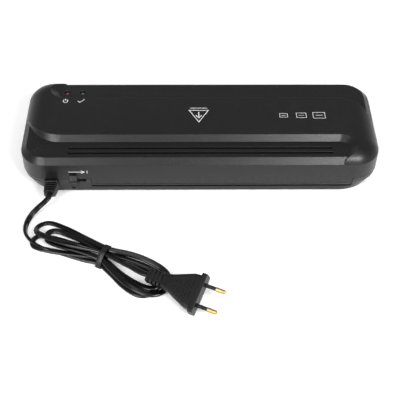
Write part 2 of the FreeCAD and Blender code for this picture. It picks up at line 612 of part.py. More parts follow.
# ================================================================= release slide
RAMP_START = 0.3               # from the toe to the foot of its ramp, at rest
BAR_RIGHT = PLAIN_FRAME_X - FRAME_T - 3.0
NECK_LOW_Z = NOTCH_Z + 0.4
NECK_HIGH_Z = UPPER_LOW_Z - 0.4
LINK_IN_Y = 52.2
LINK_OUT_Y = 53.6
KNOB_LOW_Z = 9.8
KNOB_TOP_Z = 26.2
KNOB_AIR = 0.45
TAB_OUT = 1.6                  # thickness of the knob's upper tab
GRIP_T = 2.8                   # thickness of the knob where a finger pushes it
GRIP_TOP_Z = NECK_HIGH_Z - 1.2
DISH_R = 2.3                   # finger dish in the knob
DISH_RIM = 1.2
DISH_DEPTH = 1.0


def ramp(side):
    """Wedge on the bar's top edge that lifts one arm as the bar moves towards -X."""
    start = TOE_RIGHT[side] + TOE_W + RAMP_START
    end = LINK_X if side > 0 else start + RELEASE_TRAVEL + 5
    return [(start, BAR_TOP_Z), (start + RELEASE_TRAVEL, BAR_TOP_Z + LIFT), (end, BAR_TOP_Z + LIFT)]


plain_ramp, drive_ramp = ramp(-1), ramp(1)
bar_outline = [(BAR_RIGHT, BAR_LOW_Z), (BAR_RIGHT, BAR_TOP_Z)] + plain_ramp
bar_outline += [(plain_ramp[-1][0] + 2, BAR_TOP_Z)] + drive_ramp + [(LINK_X, BAR_LOW_Z)]
bar_face = Part.Face(polygon([Vector(x, BAR_Y, z) for x, z in bar_outline]))
node("release_bar", bar_face.extrude(Vector(0, BAR_T, 0)))
node("release_link", fuse(box(LINK_X, LINK_X + LINK_T, BAR_Y, LINK_OUT_Y, BAR_LOW_Z + 1, BAR_TOP_Z),
                          box(LINK_X, LINK_X + LINK_T, LINK_IN_Y, LINK_OUT_Y, NECK_LOW_Z, BAR_TOP_Z)))
knob_left = RELEASE_MID_X + KNOB_W / 2
knob_right = RELEASE_MID_X - KNOB_W / 2
knob_face = HY + KNOB_AIR
knob = fuse(box(LINK_X + LINK_T, knob_left - 0.6, LINK_IN_Y, knob_face, NECK_LOW_Z, NECK_HIGH_Z),
            box(knob_right, knob_left, knob_face, knob_face + TAB_OUT, KNOB_LOW_Z, KNOB_TOP_Z),
            box(knob_right, knob_left, knob_face, knob_face + GRIP_T, KNOB_LOW_Z, GRIP_TOP_Z))
dish_floor = knob_face + GRIP_T - DISH_DEPTH
dish_low = KNOB_LOW_Z + DISH_RIM + DISH_R
dish = Part.makeCylinder(DISH_R, 2 * DISH_DEPTH, Vector(RELEASE_MID_X, dish_floor, dish_low), Y_DIR)
dish_top = box(RELEASE_MID_X - DISH_R, RELEASE_MID_X + DISH_R, dish_floor, dish_floor + 2 * DISH_DEPTH,
               dish_low, GRIP_TOP_Z - DISH_RIM)
node("release_knob", knob.cut(dish).cut(dish_top))

# ================================================================= side frames and ties
TIES = {"tie_rod_front": (-40.0, 13.5), "tie_rod_rear": (40.0, 23.5)}
TIE_R = 2.5
TIE_SCREW_L = 9.0
FRAME_SCREW_L = 3.8
FRAME_REAR = {1: 53.5, -1: 46.0}      # the drive frame reaches back to hold the motor


def side_frame(side, frame_x):
    """Steel plate that carries the rollers: feet bent outwards, spring tab bent inwards."""
    outer = frame_x + side * FRAME_T
    rear = FRAME_REAR[side]
    tab_top = TAB_Z + TAB_T
    outline = [(-46, FRAME_Z), (rear, FRAME_Z), (rear, 20), (44, 32), (30, 39), (8, 39),
               (8, tab_top), (-10, tab_top), (-10, 39), (-26, 39), (-46, 32)]
    plate = prism_x(outline, frame_x, outer)
    tab = box(frame_x - side * 6.5, outer, UPPER_Y - CARRIER, UPPER_Y + CARRIER, TAB_Z, tab_top)
    flanges = [box(frame_x, outer + side * FLANGE_W, y - 4, y + 4, FRAME_Z, FRAME_Z + FRAME_T)
               for y in FRAME_YS[side]]
    through = (frame_x - side * 10, outer + side * 10)
    cuts = [
        rod(*through, LOWER_Y, LOWER_Z, BUSH_R),
        box(frame_x - side, outer + side, UPPER_Y - CARRIER_NECK - RUN, UPPER_Y + CARRIER_NECK + RUN,
            UPPER_Z - CARRIER_NECK - RUN, UPPER_Z + CARRIER_NECK + LIFT + AIR),
        box(frame_x - side, outer + side, BAR_Y - AIR, BAR_Y + BAR_T + AIR,
            BAR_LOW_Z - AIR, BAR_TOP_Z + LIFT + AIR),
    ]
    cuts += [rod(*through, y, z, SCREW_R) for y, z in TIES.values()]
    cuts += [post(outer + side * FLANGE_X, y, FRAME_Z - 1, FRAME_Z + FRAME_T + 1, SMALL_SCREW_R)
             for y in FRAME_YS[side]]
    if side > 0:
        cuts.append(rod(*through, IDLER_Y, IDLER_Z, STUD_R))
        cuts.append(rod(*through, -30, 12, 3.0))
        cuts += [rod(*through, y, z, SCREW_R) for y, z in EARS]
    return fuse(plate, tab, *flanges).cut(Part.makeCompound(cuts))


def side_screw(side, seat_x, y, z, length):
    """Screw along X whose head lies outside seat_x; side is the side its head is on."""
    screw = cross_screw(0, 0, 0, -1, SCREW_R, length, SCREW_HEAD_R, SCREW_HEAD_H)
    screw.rotate(ORIGIN, Y_DIR, 90 * side)
    screw.translate(Vector(seat_x, y, z))
    return screw


node("side_frame_drive", side_frame(*SIDES["drive"]))
node("side_frame_plain", side_frame(*SIDES["plain"]))
for name, (y, z) in TIES.items():
    bar = rod(PLAIN_FRAME_X, DRIVE_FRAME_X, y, z, TIE_R)
    tapped = [rod(PLAIN_FRAME_X - 1, PLAIN_FRAME_X + 9, y, z, SCREW_R),
              rod(DRIVE_FRAME_X - 9, DRIVE_FRAME_X + 1, y, z, SCREW_R)]
    node(name, bar.cut(Part.makeCompound(tapped)))
tie_screws = [side_screw(side, frame_x + side * FRAME_T, y, z, TIE_SCREW_L)
              for side, frame_x in SIDES.values() for y, z in TIES.values()]
small_head = (SMALL_HEAD_R, SMALL_HEAD_H)
frame_screws = [cross_screw(x, y, FRAME_Z + FRAME_T, -1, SMALL_SCREW_R, FRAME_SCREW_L, *small_head)
                for x, y in FRAME_BOSSES]

# ================================================================= motor
EAR_R = 3.2
EAR_T = 1.0
ear_face = MOTOR_X + EAR_T
ear_bar = box(MOTOR_X, ear_face, CAN_Y - EAR_REACH, CAN_Y + EAR_REACH, CAN_Z - EAR_R, CAN_Z + EAR_R)
ear_bar.rotate(Vector(0, CAN_Y, CAN_Z), X_DIR, EAR_ANGLE)
ear_ends = [rod(MOTOR_X, ear_face, y, z, EAR_R) for y, z in EARS]
can = fuse(rod(MOTOR_X, MOTOR_X + CAN_L, CAN_Y, CAN_Z, CAN_R), ear_bar, *ear_ends)
motor_holes = [rod(MOTOR_X - 1, MOTOR_X + 2, y, z, SCREW_R) for y, z in EARS]
motor_holes.append(rod(MOTOR_X - 1, MOTOR_X + 8, MOTOR_Y, MOTOR_Z, MOTOR_SHAFT_R + RUN))
node("gear_motor", can.cut(Part.makeCompound(motor_holes)))
node("motor_shaft", rod(GEAR_X - 0.6, MOTOR_X + 7.8, MOTOR_Y, MOTOR_Z, MOTOR_SHAFT_R))
standoff_x = DRIVE_FRAME_X + FRAME_T
standoffs = [rod(standoff_x, MOTOR_X, y, z, STANDOFF_R).cut(rod(standoff_x - 1, MOTOR_X + 1, y, z, SCREW_R))
             for y, z in EARS]
node("motor_standoffs", *standoffs)
motor_screw_l = ear_face - standoff_x - FRAME_T
motor_screws = [side_screw(1, ear_face, y, z, motor_screw_l) for y, z in EARS]
node("machine_screws", *tie_screws, *motor_screws)

# ================================================================= pouch path and heat shoes
SHOE_GAP = 0.6                 # half of the gap between the shoes
SHOE_T = 2.0
SHOE_U = (-42.0, -11.5)        # along the path from the nip
HEATER_U = (-38.0, -16.0)
HEATER_T = 1.2
COVER_T = 0.8
SHOE_END = 2.5                 # the shoes stop this far from the frames
HEATER_END = 13.0
HOLDER_T = 4.5
GUIDE_T = 1.4
GUIDE_AIR = 0.9


def on_path(points_uv, x0, x1):
    """Prism along X whose outline is given along the path (u) and square to it (v)."""
    c, s = cos(radians(PATH_TILT)), sin(radians(PATH_TILT))
    return prism_x([(NIP_Y + u * c + v * s, NIP_Z - u * s + v * c) for u, v in points_uv], x0, x1)


def path_plate(u_range, v0, v1, x0, x1):
    u0, u1 = u_range
    return on_path([(u0, v0), (u1, v0), (u1, v1), (u0, v1)], x0, x1)


def heat_shoe(side):
    """Aluminium heating plate beside the path, its leading edge turned away from the pouch."""
    near, far = side * SHOE_GAP, side * (SHOE_GAP + SHOE_T)
    u0, u1 = SHOE_U
    lift = side * 1.2
    outline = [(u0, near + lift), (u0 + 2.4, near), (u1, near), (u1, far), (u0 + 3.0, far), (u0, far + lift)]
    return on_path(outline, PLAIN_FRAME_X + SHOE_END, DRIVE_FRAME_X - SHOE_END)


def shoe_holder(side, frame_x):
    """Heat-proof block fixed to a frame, with pockets for the ends of both shoes."""
    block = path_plate((SHOE_U[0] - 1.5, SHOE_U[1] + 1.0), -6.0, 6.0, frame_x - side * HOLDER_T, frame_x)
    return block.cut(shoes[1]).cut(shoes[-1])


shoes = {side: heat_shoe(side) for side in (1, -1)}
heater_x = (PLAIN_FRAME_X + HEATER_END, DRIVE_FRAME_X - HEATER_END)
for side, name in ((1, "upper"), (-1, "lower")):
    face = side * (SHOE_GAP + SHOE_T)
    back = face + side * HEATER_T
    node(name + "_heat_shoe", shoes[side])
    node(name + "_heater", path_plate(HEATER_U, face, back, *heater_x))
    node(name + "_heater_cover", path_plate((HEATER_U[0] + 1, HEATER_U[1] - 1), back, back + side * COVER_T,
                                            heater_x[0] + 2, heater_x[1] - 2))
for end, (side, frame_x) in SIDES.items():
    node("shoe_holder_" + end, shoe_holder(side, frame_x))

mount_v = SHOE_GAP + SHOE_T + HEATER_T + COVER_T
mount_u = (HEATER_U[0] + HEATER_U[1]) / 2


def path_axis_place(x, u, v):
    """Placement whose Z axis stands square to the pouch path."""
    c, s = cos(radians(PATH_TILT)), sin(radians(PATH_TILT))
    return Placement(Vector(x, NIP_Y + u * c + v * s, NIP_Z - u * s + v * c), Rotation(X_DIR, -PATH_TILT))


blades = [box(s * 9, s * 4, -2, 2, 5.2, 6.0) for s in (-1, 1)]
thermostat = fuse(Part.makeCylinder(7.5, 1.5), Part.makeCylinder(6.5, 6.0), *blades)
thermostat.Placement = path_axis_place(-25, mount_u, mount_v)
node("thermostat", thermostat)
fuse_body = fuse(rod(-5.5, 5.5, 0, 2.0, 2.0), rod(-16, 16, 0, 2.0, 0.5))
fuse_body.Placement = path_axis_place(25, mount_u, mount_v)
node("thermal_fuse", fuse_body)

mouth_y = -HY + WALL + 0.3
guide_end_y = NIP_Y + (SHOE_U[0] - 2.0) * cos(radians(PATH_TILT))
end_low = path_z(guide_end_y) - GUIDE_AIR
end_high = path_z(guide_end_y) + GUIDE_AIR
mouth_top = MOUTH_LOW + MOUTH_H
guide_x = (PLAIN_FRAME_X, DRIVE_FRAME_X)


def lip(start, end, thickness):
    """Outline of a plate between two points of the YZ plane; thickness goes up or down."""
    return [start, end, (end[0], end[1] + thickness), (start[0], start[1] + thickness)]


low_lip = lip((mouth_y, MOUTH_LOW), (guide_end_y, end_low), -GUIDE_T)
high_lip = lip((mouth_y, mouth_top), (guide_end_y, end_high), GUIDE_T)
cheek = [low_lip[3], low_lip[2], high_lip[2], high_lip[3]]
cheeks = [prism_x(cheek, PLAIN_FRAME_X, THROAT_RIGHT), prism_x(cheek, THROAT_LEFT, DRIVE_FRAME_X)]
node("infeed_guide", fuse(prism_x(low_lip, *guide_x), prism_x(high_lip, *guide_x), *cheeks))
EXIT_U0 = 11.0
exit_y0 = NIP_Y + EXIT_U0
exit_y1 = HY - WALL - 3.4
lower_plate, upper_plate = [
    lip(*[(y, path_z(y) + side * GUIDE_AIR) for y in (exit_y0, exit_y1)], side * GUIDE_T)
    for side in (-1, 1)]
GUSSET_XS = (-120.0, -70.0, -20.0, 30.0, 80.0)
GUSSET_T = 1.6
gusset_ys = (exit_y0 + 6, exit_y1 - 6)
gusset = [(y, FLOOR_Z) for y in gusset_ys]
gusset += [(y, path_z(y) - GUIDE_AIR - GUIDE_T / 2) for y in reversed(gusset_ys)]
gussets = [prism_x(gusset, x - GUSSET_T / 2, x + GUSSET_T / 2) for x in GUSSET_XS]
node("exit_guide_lower", fuse(prism_x(lower_plate, *guide_x), *gussets))
node("exit_guide_upper", prism_x(upper_plate, *guide_x))

# ================================================================= lamps and their board
LED_R = 2.5
board_top = BOARD_Z + BOARD_T
for name, x in LED_XS.items():
    dome_z = LED_TOP_Z - LED_R
    rim = post(x, LED_Y, board_top, board_top + 1.0, LED_R + 0.4)
    dome = Part.makeSphere(LED_R, Vector(x, LED_Y, dome_z), Z_DIR, 0, 90, 360)
    node(name, fuse(rim, post(x, LED_Y, board_top, dome_z, LED_R), dome))
board_x = (BOARD_POSTS[0][0] - 2.6, max(LED_XS.values()) + 5.6)
board = box(*board_x, LED_Y - 6.4, LED_Y + 9.6, BOARD_Z, board_top)
board_holes = [post(x, y, BOARD_Z - 1, board_top + 1, BOARD_SCREW_R) for x, y in BOARD_POSTS]
node("led_board", board.cut(Part.makeCompound(board_holes)))
node("board_screws", *[cross_screw(x, y, BOARD_Z, 1, BOARD_SCREW_R, BOARD_T + 3.6, 1.9, 1.3)
                       for x, y in BOARD_POSTS])

# ================================================================= mains entry
CORD_R = CORD_D / 2
INNER_CORD_Y = 30.0


def bar_along_y(x, z, hx, hz, r, y0, y1):
    """Rounded bar along Y."""
    bar = rounded_block(hx, hz, r, y0, y1)
    bar.rotate(ORIGIN, X_DIR, -90)
    bar.rotate(ORIGIN, Y_DIR, 180)
    bar.translate(Vector(x, 0, z))
    return bar


def make_boot():
    """Ribbed cord boot: inner flange, neck in the wall, collar and shrinking ribs."""
    wall_in = HY - WALL - 4.2
    pieces = [
        bar_along_y(BOOT_X, BOOT_Z, 6.2, 5.8, 1.5, wall_in - 2.2, wall_in),
        bar_along_y(BOOT_X, BOOT_Z, BOOT_NECK, BOOT_NECK, 0.6, wall_in - 0.1, HY + 0.2),
        bar_along_y(BOOT_X, BOOT_Z, 6.5, 5.9, 2.0, HY - 2.2, HY + 2.6),
        bar_along_y(BOOT_X, BOOT_Z, 4.1, 3.7, 1.6, HY + 2.0, BOOT_END_Y),
    ]
    ribs = 4
    pitch = (BOOT_END_Y - HY - 2.6) / ribs
    for i in range(ribs):
        start = HY + 2.6 + (i + 0.32) * pitch
        shrink = 0.45 * i
        end = start + 0.68 * pitch
        pieces.append(bar_along_y(BOOT_X, BOOT_Z, 6.2 - shrink, 5.6 - shrink, 2.0, start, end))
    bore = Part.makeCylinder(CORD_R, 40, Vector(BOOT_X, HY - 15, BOOT_Z), Y_DIR)
    boot = fuse(*pieces).cut(bore).cut(parts["bottom_cover"]).cut(parts["top_cover"])
    return max(boot.Solids, key=lambda solid: solid.Volume)


def round_tube(points, r):
    """Tube of straight runs joined by tangent arcs as large as the runs allow."""
    pts = [Vector(*p) for p in points]
    edges = []
    start = pts[0]
    for before, corner, after in zip(pts, pts[1:], pts[2:]):
        back, ahead = before - corner, after - corner
        turn = pi - back.getAngle(ahead)
        reach = 0.45 * min(back.Length, ahead.Length)
        radius = reach / tan(turn / 2)
        back.normalize()
        ahead.normalize()
        a, b = corner + back * reach, corner + ahead * reach
        inward = back + ahead
        inward.normalize()
        middle = corner + inward * (hypot(radius, reach) - radius)
        edges.append(Part.LineSegment(start, a).toShape())
        edges.append(Part.Arc(a, middle, b).toShape())
        start = b
        bend_radii.append(round(radius, 1))
    edges.append(Part.LineSegment(start, pts[-1]).toShape())
    path = Part.Wire(edges)
    ring = Part.Wire(Part.makeCircle(r, pts[0], pts[1] - pts[0]))
    tube = path.makePipeShell([ring], True, False)
    fill = tube.Volume / (pi * r * r * path.Length)
    print("tube length", round(path.Length, 1), "volume / (section x length)", round(fill, 4))
    return tube


bend_radii = []
node("cord_boot", make_boot())
inner_start = Vector(BOOT_X, INNER_CORD_Y, BOOT_Z)
node("supply_cord_inner", Part.makeCylinder(CORD_R, BOOT_END_Y - INNER_CORD_Y, inner_start, Y_DIR))
clamp_z = BOOT_Z + CORD_R
clamp_top = clamp_z + CLAMP_T
clamp = box(BOOT_X - CLAMP_HALF, BOOT_X + CLAMP_HALF, CLAMP_Y0, CLAMP_Y1, clamp_z, clamp_top)
clamp_holes = [post(x, CLAMP_MID_Y, clamp_z - 1, clamp_top + 1, SMALL_SCREW_R) for x in CLAMP_SCREW_XS]
node("cord_clamp", clamp.cut(Part.makeCompound(clamp_holes)))
clamp_screw_l = clamp_top - CLAMP_PILOT_Z - 1.5
clamp_screws = [cross_screw(x, CLAMP_MID_Y, clamp_top, -1, SMALL_SCREW_R, clamp_screw_l, *small_head)
                for x in CLAMP_SCREW_XS]
node("tapping_screws", *frame_screws, *clamp_screws)

TERMINAL_X = (143.0, 155.0)
TERMINAL_Y = (-6.0, 20.0)
TERMINAL_H = 12.0
TERMINAL_PITCH = 8.5
WAY_Z = FLOOR_Z + 5.0          # height of the wire ways
CORE_R = 0.8
CORE_SHIFT = 1.1               # the two cores lie this far either side of the cord's middle
terminal_ys = [TERMINAL_Y[0] + 4.5 + i * TERMINAL_PITCH for i in range(3)]
terminal_mid = sum(TERMINAL_X) / 2
block = box(*TERMINAL_X, *TERMINAL_Y, FLOOR_Z, FLOOR_Z + TERMINAL_H)
for y in terminal_ys:
    way = rod(TERMINAL_X[0] - 1, TERMINAL_X[1] + 1, y, WAY_Z, 1.6)
    well = post(terminal_mid, y, WAY_Z, FLOOR_Z + TERMINAL_H + 1, 1.8)
    block = block.cut(way).cut(well)
node("terminal_block", block)

in_x = TERMINAL_X[0] + 1
left_x, right_x = BOOT_X - CORE_SHIFT, BOOT_X + CORE_SHIFT
straight_core = [
    (left_x, INNER_CORD_Y, BOOT_Z),
    (left_x, INNER_CORD_Y - 6, BOOT_Z),
    (left_x - 0.5, terminal_ys[2], WAY_Z + 0.2),
    (in_x, terminal_ys[2], WAY_Z),
]
hopping_core = [
    (right_x, INNER_CORD_Y, BOOT_Z),
    (right_x, INNER_CORD_Y - 5, BOOT_Z),
    (right_x - 0.7, INNER_CORD_Y - 10, BOOT_Z + 4.4),
    (right_x - 0.7, INNER_CORD_Y - 18, BOOT_Z + 1.5),
    (right_x - 0.5, terminal_ys[1], WAY_Z + 0.2),
    (in_x, terminal_ys[1], WAY_Z),
]
node("mains_cores", *[round_tube(route, CORE_R) for route in (straight_core, hopping_core)])
heater_lead = [
    (in_x, terminal_ys[0], WAY_Z),
    (TERMINAL_X[0] - 8, terminal_ys[0] - 4, WAY_Z),
    (124.0, -27.0, 11.0),
    (96.0, -30.0, 11.5),
    (84.0, -31.0, 14.0),
    (82.0, -31.0, 22.4),
]
node("heater_leads", round_tube(heater_lead, CORE_R))

# ================================================================= supply cord, hank and plug
bend_radii.clear()
node("supply_cord", round_tube(CORD_ROUTE, CORD_R))
print("cord bend radii", bend_radii)


def plug_place(shape):
    """From the plug's own frame (+X out of the pins, origin on the flange) to where it lies."""
    turned = Rotation(Z_DIR, PLUG_HEADING).multiply(Rotation(X_DIR, PLUG_ROLL))
    shape.Placement = Placement(Vector(*PLUG_AT), turned)
    return shape


def cross_section(x, hy, hz, r):
    """Rounded rectangle square to the plug's axis."""
    wire = rounded_wire(hz, hy, r, 0)
    wire.rotate(ORIGIN, Y_DIR, 90)
    wire.translate(Vector(x, 0, 0))
    return wire


def plug_bar(x, length, hy, hz, r):
    """Rounded bar along the plug's axis."""
    return Part.Face(cross_section(x, hy, hz, r)).extrude(Vector(length, 0, 0))


PLUG_BODY_L = 35.0
RELIEF_L = 15.0
RELIEF_RIBS = 4
RELIEF_PITCH = 3.7
RELIEF_RIB_T = 2.4
FLANGE_L = 4.6
PIN_ROOT = 8.0                 # length of a pin inside the plug
PIN_NECK_R = PIN_R - 0.7       # a pin is thinner under its sleeve and inside the plug
SLEEVE_R = PIN_R - 0.3
plug_tail = -PLUG_BODY_L - RELIEF_L
plug_form = Part.makeLoft([
    cross_section(-PLUG_BODY_L, 6.3, 5.4, 2.0),
    cross_section(-PLUG_BODY_L + 7, 7.6, 6.0, 2.4),
    cross_section(-FLANGE_L - 6, 15.0, 6.2, 2.6),
    cross_section(-FLANGE_L, 15.6, 6.2, 2.6),
], True, True)
relief = [plug_bar(plug_tail, RELIEF_L + 1, 4.6, 4.2, 1.6)]
for i in range(RELIEF_RIBS):
    start = plug_tail + 0.4 + i * RELIEF_PITCH
    relief.append(plug_bar(start, RELIEF_RIB_T, 6.0 + 0.25 * i, 5.0 + 0.15 * i, 1.8))
plug = fuse(plug_form, plug_bar(-FLANGE_L, FLANGE_L, 17.75, 6.85, 2.0), *relief)
pins, sleeves = [], []
for s in (-1, 1):
    base = Vector(0, s * PIN_PITCH / 2, 0)
    deep = base - Vector(PIN_ROOT, 0, 0)
    tip_start = base + Vector(PIN_SLEEVE_L, 0, 0)
    plug = plug.cut(Part.makeCylinder(PIN_NECK_R, PIN_ROOT + 1, deep, X_DIR))
    core = Part.makeCylinder(PIN_NECK_R, PIN_ROOT + PIN_SLEEVE_L, deep, X_DIR)
    tip = Part.makeCylinder(PIN_R, PIN_L - PIN_SLEEVE_L - PIN_R, tip_start, X_DIR)
    nose = Part.makeSphere(PIN_R, base + Vector(PIN_L - PIN_R, 0, 0))
    pins.append(plug_place(fuse(core, tip, nose)))
    sleeve = Part.makeCylinder(SLEEVE_R, PIN_SLEEVE_L, base, X_DIR)
    sleeves.append(plug_place(sleeve.cut(core)))
node("plug_body", plug_place(plug))
node("plug_pins", *pins)
node("plug_pin_sleeves", *sleeves)

outline = Part.BSplineCurve()
outline.interpolate([Vector(x, y, FLOOR_AIR) for x, y in HANK_OUTLINE], PeriodicFlag=True)
hank = Part.Face(Part.Wire(outline.toShape())).extrude(Vector(0, 0, HANK_TOP - FLOOR_AIR))
tie_band = box(-TIE_W / 2, TIE_W / 2, -TIE_HALF, TIE_HALF, FLOOR_AIR, HANK_TOP + TIE_T)
tie_hole = box(-TIE_W, TIE_W, TIE_T - TIE_HALF, TIE_HALF - TIE_T, FLOOR_AIR + TIE_T, HANK_TOP)
tie = tie_band.cut(tie_hole)
tie.Placement = Placement(Vector(TIE_X, TIE_Y, 0), Rotation(Z_DIR, TIE_ANGLE))
plug_room = plug_place(plug_bar(plug_tail, PLUG_BODY_L + RELIEF_L, 7.2, 6.2, 2.0))
hank = hank.cut(tie).cut(plug_room).cut(parts["supply_cord"])
node("cord_hank", max(hank.Solids, key=lambda solid: solid.Volume))
node("cord_tie", tie)

# ================================================================= write the pieces
total = 0
for name, shape in parts.items():
    ok = shape.isValid() and all(s.isClosed() for s in shape.Shells)
    total += len(shape.Solids)
    if not ok or not shape.Solids:
        print("CHECK", name, shape.isValid(), len(shape.Solids))
print(len(parts), "nodes", total, "solids")
os.makedirs("parts", exist_ok=True)
for name, shape in parts.items():
    shape.exportStep("parts/" + name + ".step")
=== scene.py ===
# %% [markdown]
# # A pouch laminator, dressed for its picture
# The machine itself arrives as a finished model: covers, rollers, gears and screws, each at its real size.
# In this lesson we add what engineering drawings leave out: the mains lead lying on the table, the ribbed
# strain relief, the grain of moulded plastic, printed pictograms, and light.

# %% Load the machine
import json
from math import cos, pi, radians, sin
import bpy
import numpy as np
from mathutils import Matrix, Vector


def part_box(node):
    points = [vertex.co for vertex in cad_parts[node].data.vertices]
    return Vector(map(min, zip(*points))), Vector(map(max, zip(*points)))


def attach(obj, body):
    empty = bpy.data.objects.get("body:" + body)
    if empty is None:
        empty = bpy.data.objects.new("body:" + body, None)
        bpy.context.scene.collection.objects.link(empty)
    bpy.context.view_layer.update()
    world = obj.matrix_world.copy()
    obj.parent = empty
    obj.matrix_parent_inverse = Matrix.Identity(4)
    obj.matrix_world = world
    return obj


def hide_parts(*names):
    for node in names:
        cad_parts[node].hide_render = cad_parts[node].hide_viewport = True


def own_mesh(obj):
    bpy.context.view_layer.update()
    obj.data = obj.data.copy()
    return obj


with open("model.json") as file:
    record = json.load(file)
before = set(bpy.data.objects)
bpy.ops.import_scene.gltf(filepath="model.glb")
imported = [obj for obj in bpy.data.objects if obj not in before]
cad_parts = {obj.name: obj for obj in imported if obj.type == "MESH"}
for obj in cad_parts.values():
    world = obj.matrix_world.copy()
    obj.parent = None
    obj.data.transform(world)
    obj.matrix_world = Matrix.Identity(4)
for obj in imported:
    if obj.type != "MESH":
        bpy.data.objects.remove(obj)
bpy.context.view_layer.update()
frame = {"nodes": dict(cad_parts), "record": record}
nodes = frame["nodes"]
slot_of = {part["node"]: part["material_slot"] for part in frame["record"]["subparts"]}

# %% [markdown]
# ## Three small helpers
# Everything we build ends as a mesh with a material that rides on one body of the machine. A *loft* joins
# rings of points into a skin, which is how most swept and moulded things here are made.

# %% Helpers
MM = 0.001


def place(name, verts, faces, material, body="root", smooth=True):
    """Make a mesh object from points in metres, give it its material and let it ride on a body."""
    mesh = bpy.data.meshes.new(name)
    mesh.from_pydata([tuple(v) for v in verts], [], faces)
    mesh.validate()
    mesh.materials.append(material)
    mesh.shade_smooth() if smooth else mesh.shade_flat()
    piece = bpy.data.objects.new(name, mesh)
    bpy.context.scene.collection.objects.link(piece)
    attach(piece, body)
    return piece


def loft(rings, capped=True, start=0):
    """Faces between rings that all have the same number of points; the ends are closed."""
    n = len(rings[0])
    verts = [v for ring in rings for v in ring]
    faces = []
    for i in range(len(rings) - 1):
        a, b = start + i * n, start + (i + 1) * n
        faces += [(a + j, a + (j + 1) % n, b + (j + 1) % n, b + j) for j in range(n)]
    if capped:
        last = start + (len(rings) - 1) * n
        faces += [tuple(range(start + n - 1, start - 1, -1)), tuple(range(last, last + n))]
    return verts, faces


def crease(piece, angle):
    """Keep edges sharper than the angle crisp while the rest shades smoothly."""
    piece.data.set_sharp_from_angle(angle=radians(angle))


print("one millimetre is", MM, "m")

# %% [markdown]
# ## The camera
# The machine is seen from its exit side, from above, with a long lens so that its long edges stay almost
# parallel. A camera's place is three lengths, and its aim is three angles: how far it looks down, how far it
# is turned to one side, and a very small tilt. From these we build the camera's own right, up and back.

# %% Camera
CAMERA_AT = Vector((12.5, 627.5, 602.6)) * MM
LOOK_DOWN, TURN, TILT = radians(47.0), radians(-1.23), radians(0.72)
LENS = 78.5

ahead = Vector((sin(TURN) * cos(LOOK_DOWN), -cos(TURN) * cos(LOOK_DOWN), -sin(LOOK_DOWN)))
level_right = Vector((-cos(TURN), -sin(TURN), 0))
level_up = level_right.cross(ahead)
right = level_right * cos(TILT) + level_up * sin(TILT)
up = level_up * cos(TILT) - level_right * sin(TILT)
camera = bpy.data.objects.new("camera", bpy.data.cameras.new("camera"))
bpy.context.scene.collection.objects.link(camera)
camera.matrix_world = Matrix.Translation(CAMERA_AT) @ Matrix((right, up, -ahead)).transposed().to_4x4()
camera.data.sensor_width = 36
camera.data.lens = LENS
camera.data.clip_start, camera.data.clip_end = 0.01, 20
bpy.context.scene.camera = camera
print("camera", [round(x, 3) for x in CAMERA_AT], "lens", LENS)

# %% [markdown]
# ## Shader groups that several finishes share
# Injection-moulded parts have a spark-eroded grain, edges that are never quite sharp, and a little dust. Each
# of these effects is a node group made once. A group gives out only masks and normals; the shader itself
# stays in each material, so that its plain numbers can be exported.

# %% Group tools
def new_group(name, numbers, outputs):
    """Empty node group with float inputs {name: default} and outputs {name: socket type}."""
    group = bpy.data.node_groups.new(name, "ShaderNodeTree")
    for label, value in numbers.items():
        socket = group.interface.new_socket(label, in_out="INPUT", socket_type="NodeSocketFloat")
        socket.default_value = value
    for label, kind in outputs.items():
        group.interface.new_socket(label, in_out="OUTPUT", socket_type=kind)
    return group, group.nodes.new("NodeGroupInput").outputs, group.nodes.new("NodeGroupOutput").inputs


def add(tree, kind, links=None, **settings):
    """Add a node; links maps its inputs to sockets or to plain values."""
    made = tree.nodes.new(kind)
    for key, value in settings.items():
        setattr(made, key, value)
    for key, value in (links or {}).items():
        if isinstance(value, bpy.types.NodeSocket):
            tree.links.new(value, made.inputs[key])
        else:
            made.inputs[key].default_value = value
    return made


def calc(tree, operation, a, b=0.0, clamp=False):
    return add(tree, "ShaderNodeMath", {0: a, 1: b}, operation=operation, use_clamp=clamp).outputs[0]


def remap(tree, value, low, high, to_low=0.0, to_high=1.0):
    links = {"Value": value, "From Min": low, "From Max": high, "To Min": to_low, "To Max": to_high}
    return add(tree, "ShaderNodeMapRange", links, interpolation_type="SMOOTHSTEP").outputs["Result"]


def here(tree):
    return add(tree, "ShaderNodeTexCoord").outputs["Object"]


def noise(tree, scale, detail=2.0, where=None, roughness=0.5):
    links = {"Vector": where or here(tree), "Scale": scale, "Detail": detail, "Roughness": roughness}
    return add(tree, "ShaderNodeTexNoise", links).outputs["Fac"]


print("group tools", [tool.__name__ for tool in (new_group, add, calc, remap, here, noise)])

# %% [markdown]
# ### Moulded surface
# Grain is two sizes of noise pressed into the surface as a bump. The *Bevel* node rounds every edge in the
# shading only, which is right here: the true radius is a few tenths of a millimetre, too small to model
# on every edge, but it is what catches the light along the covers.

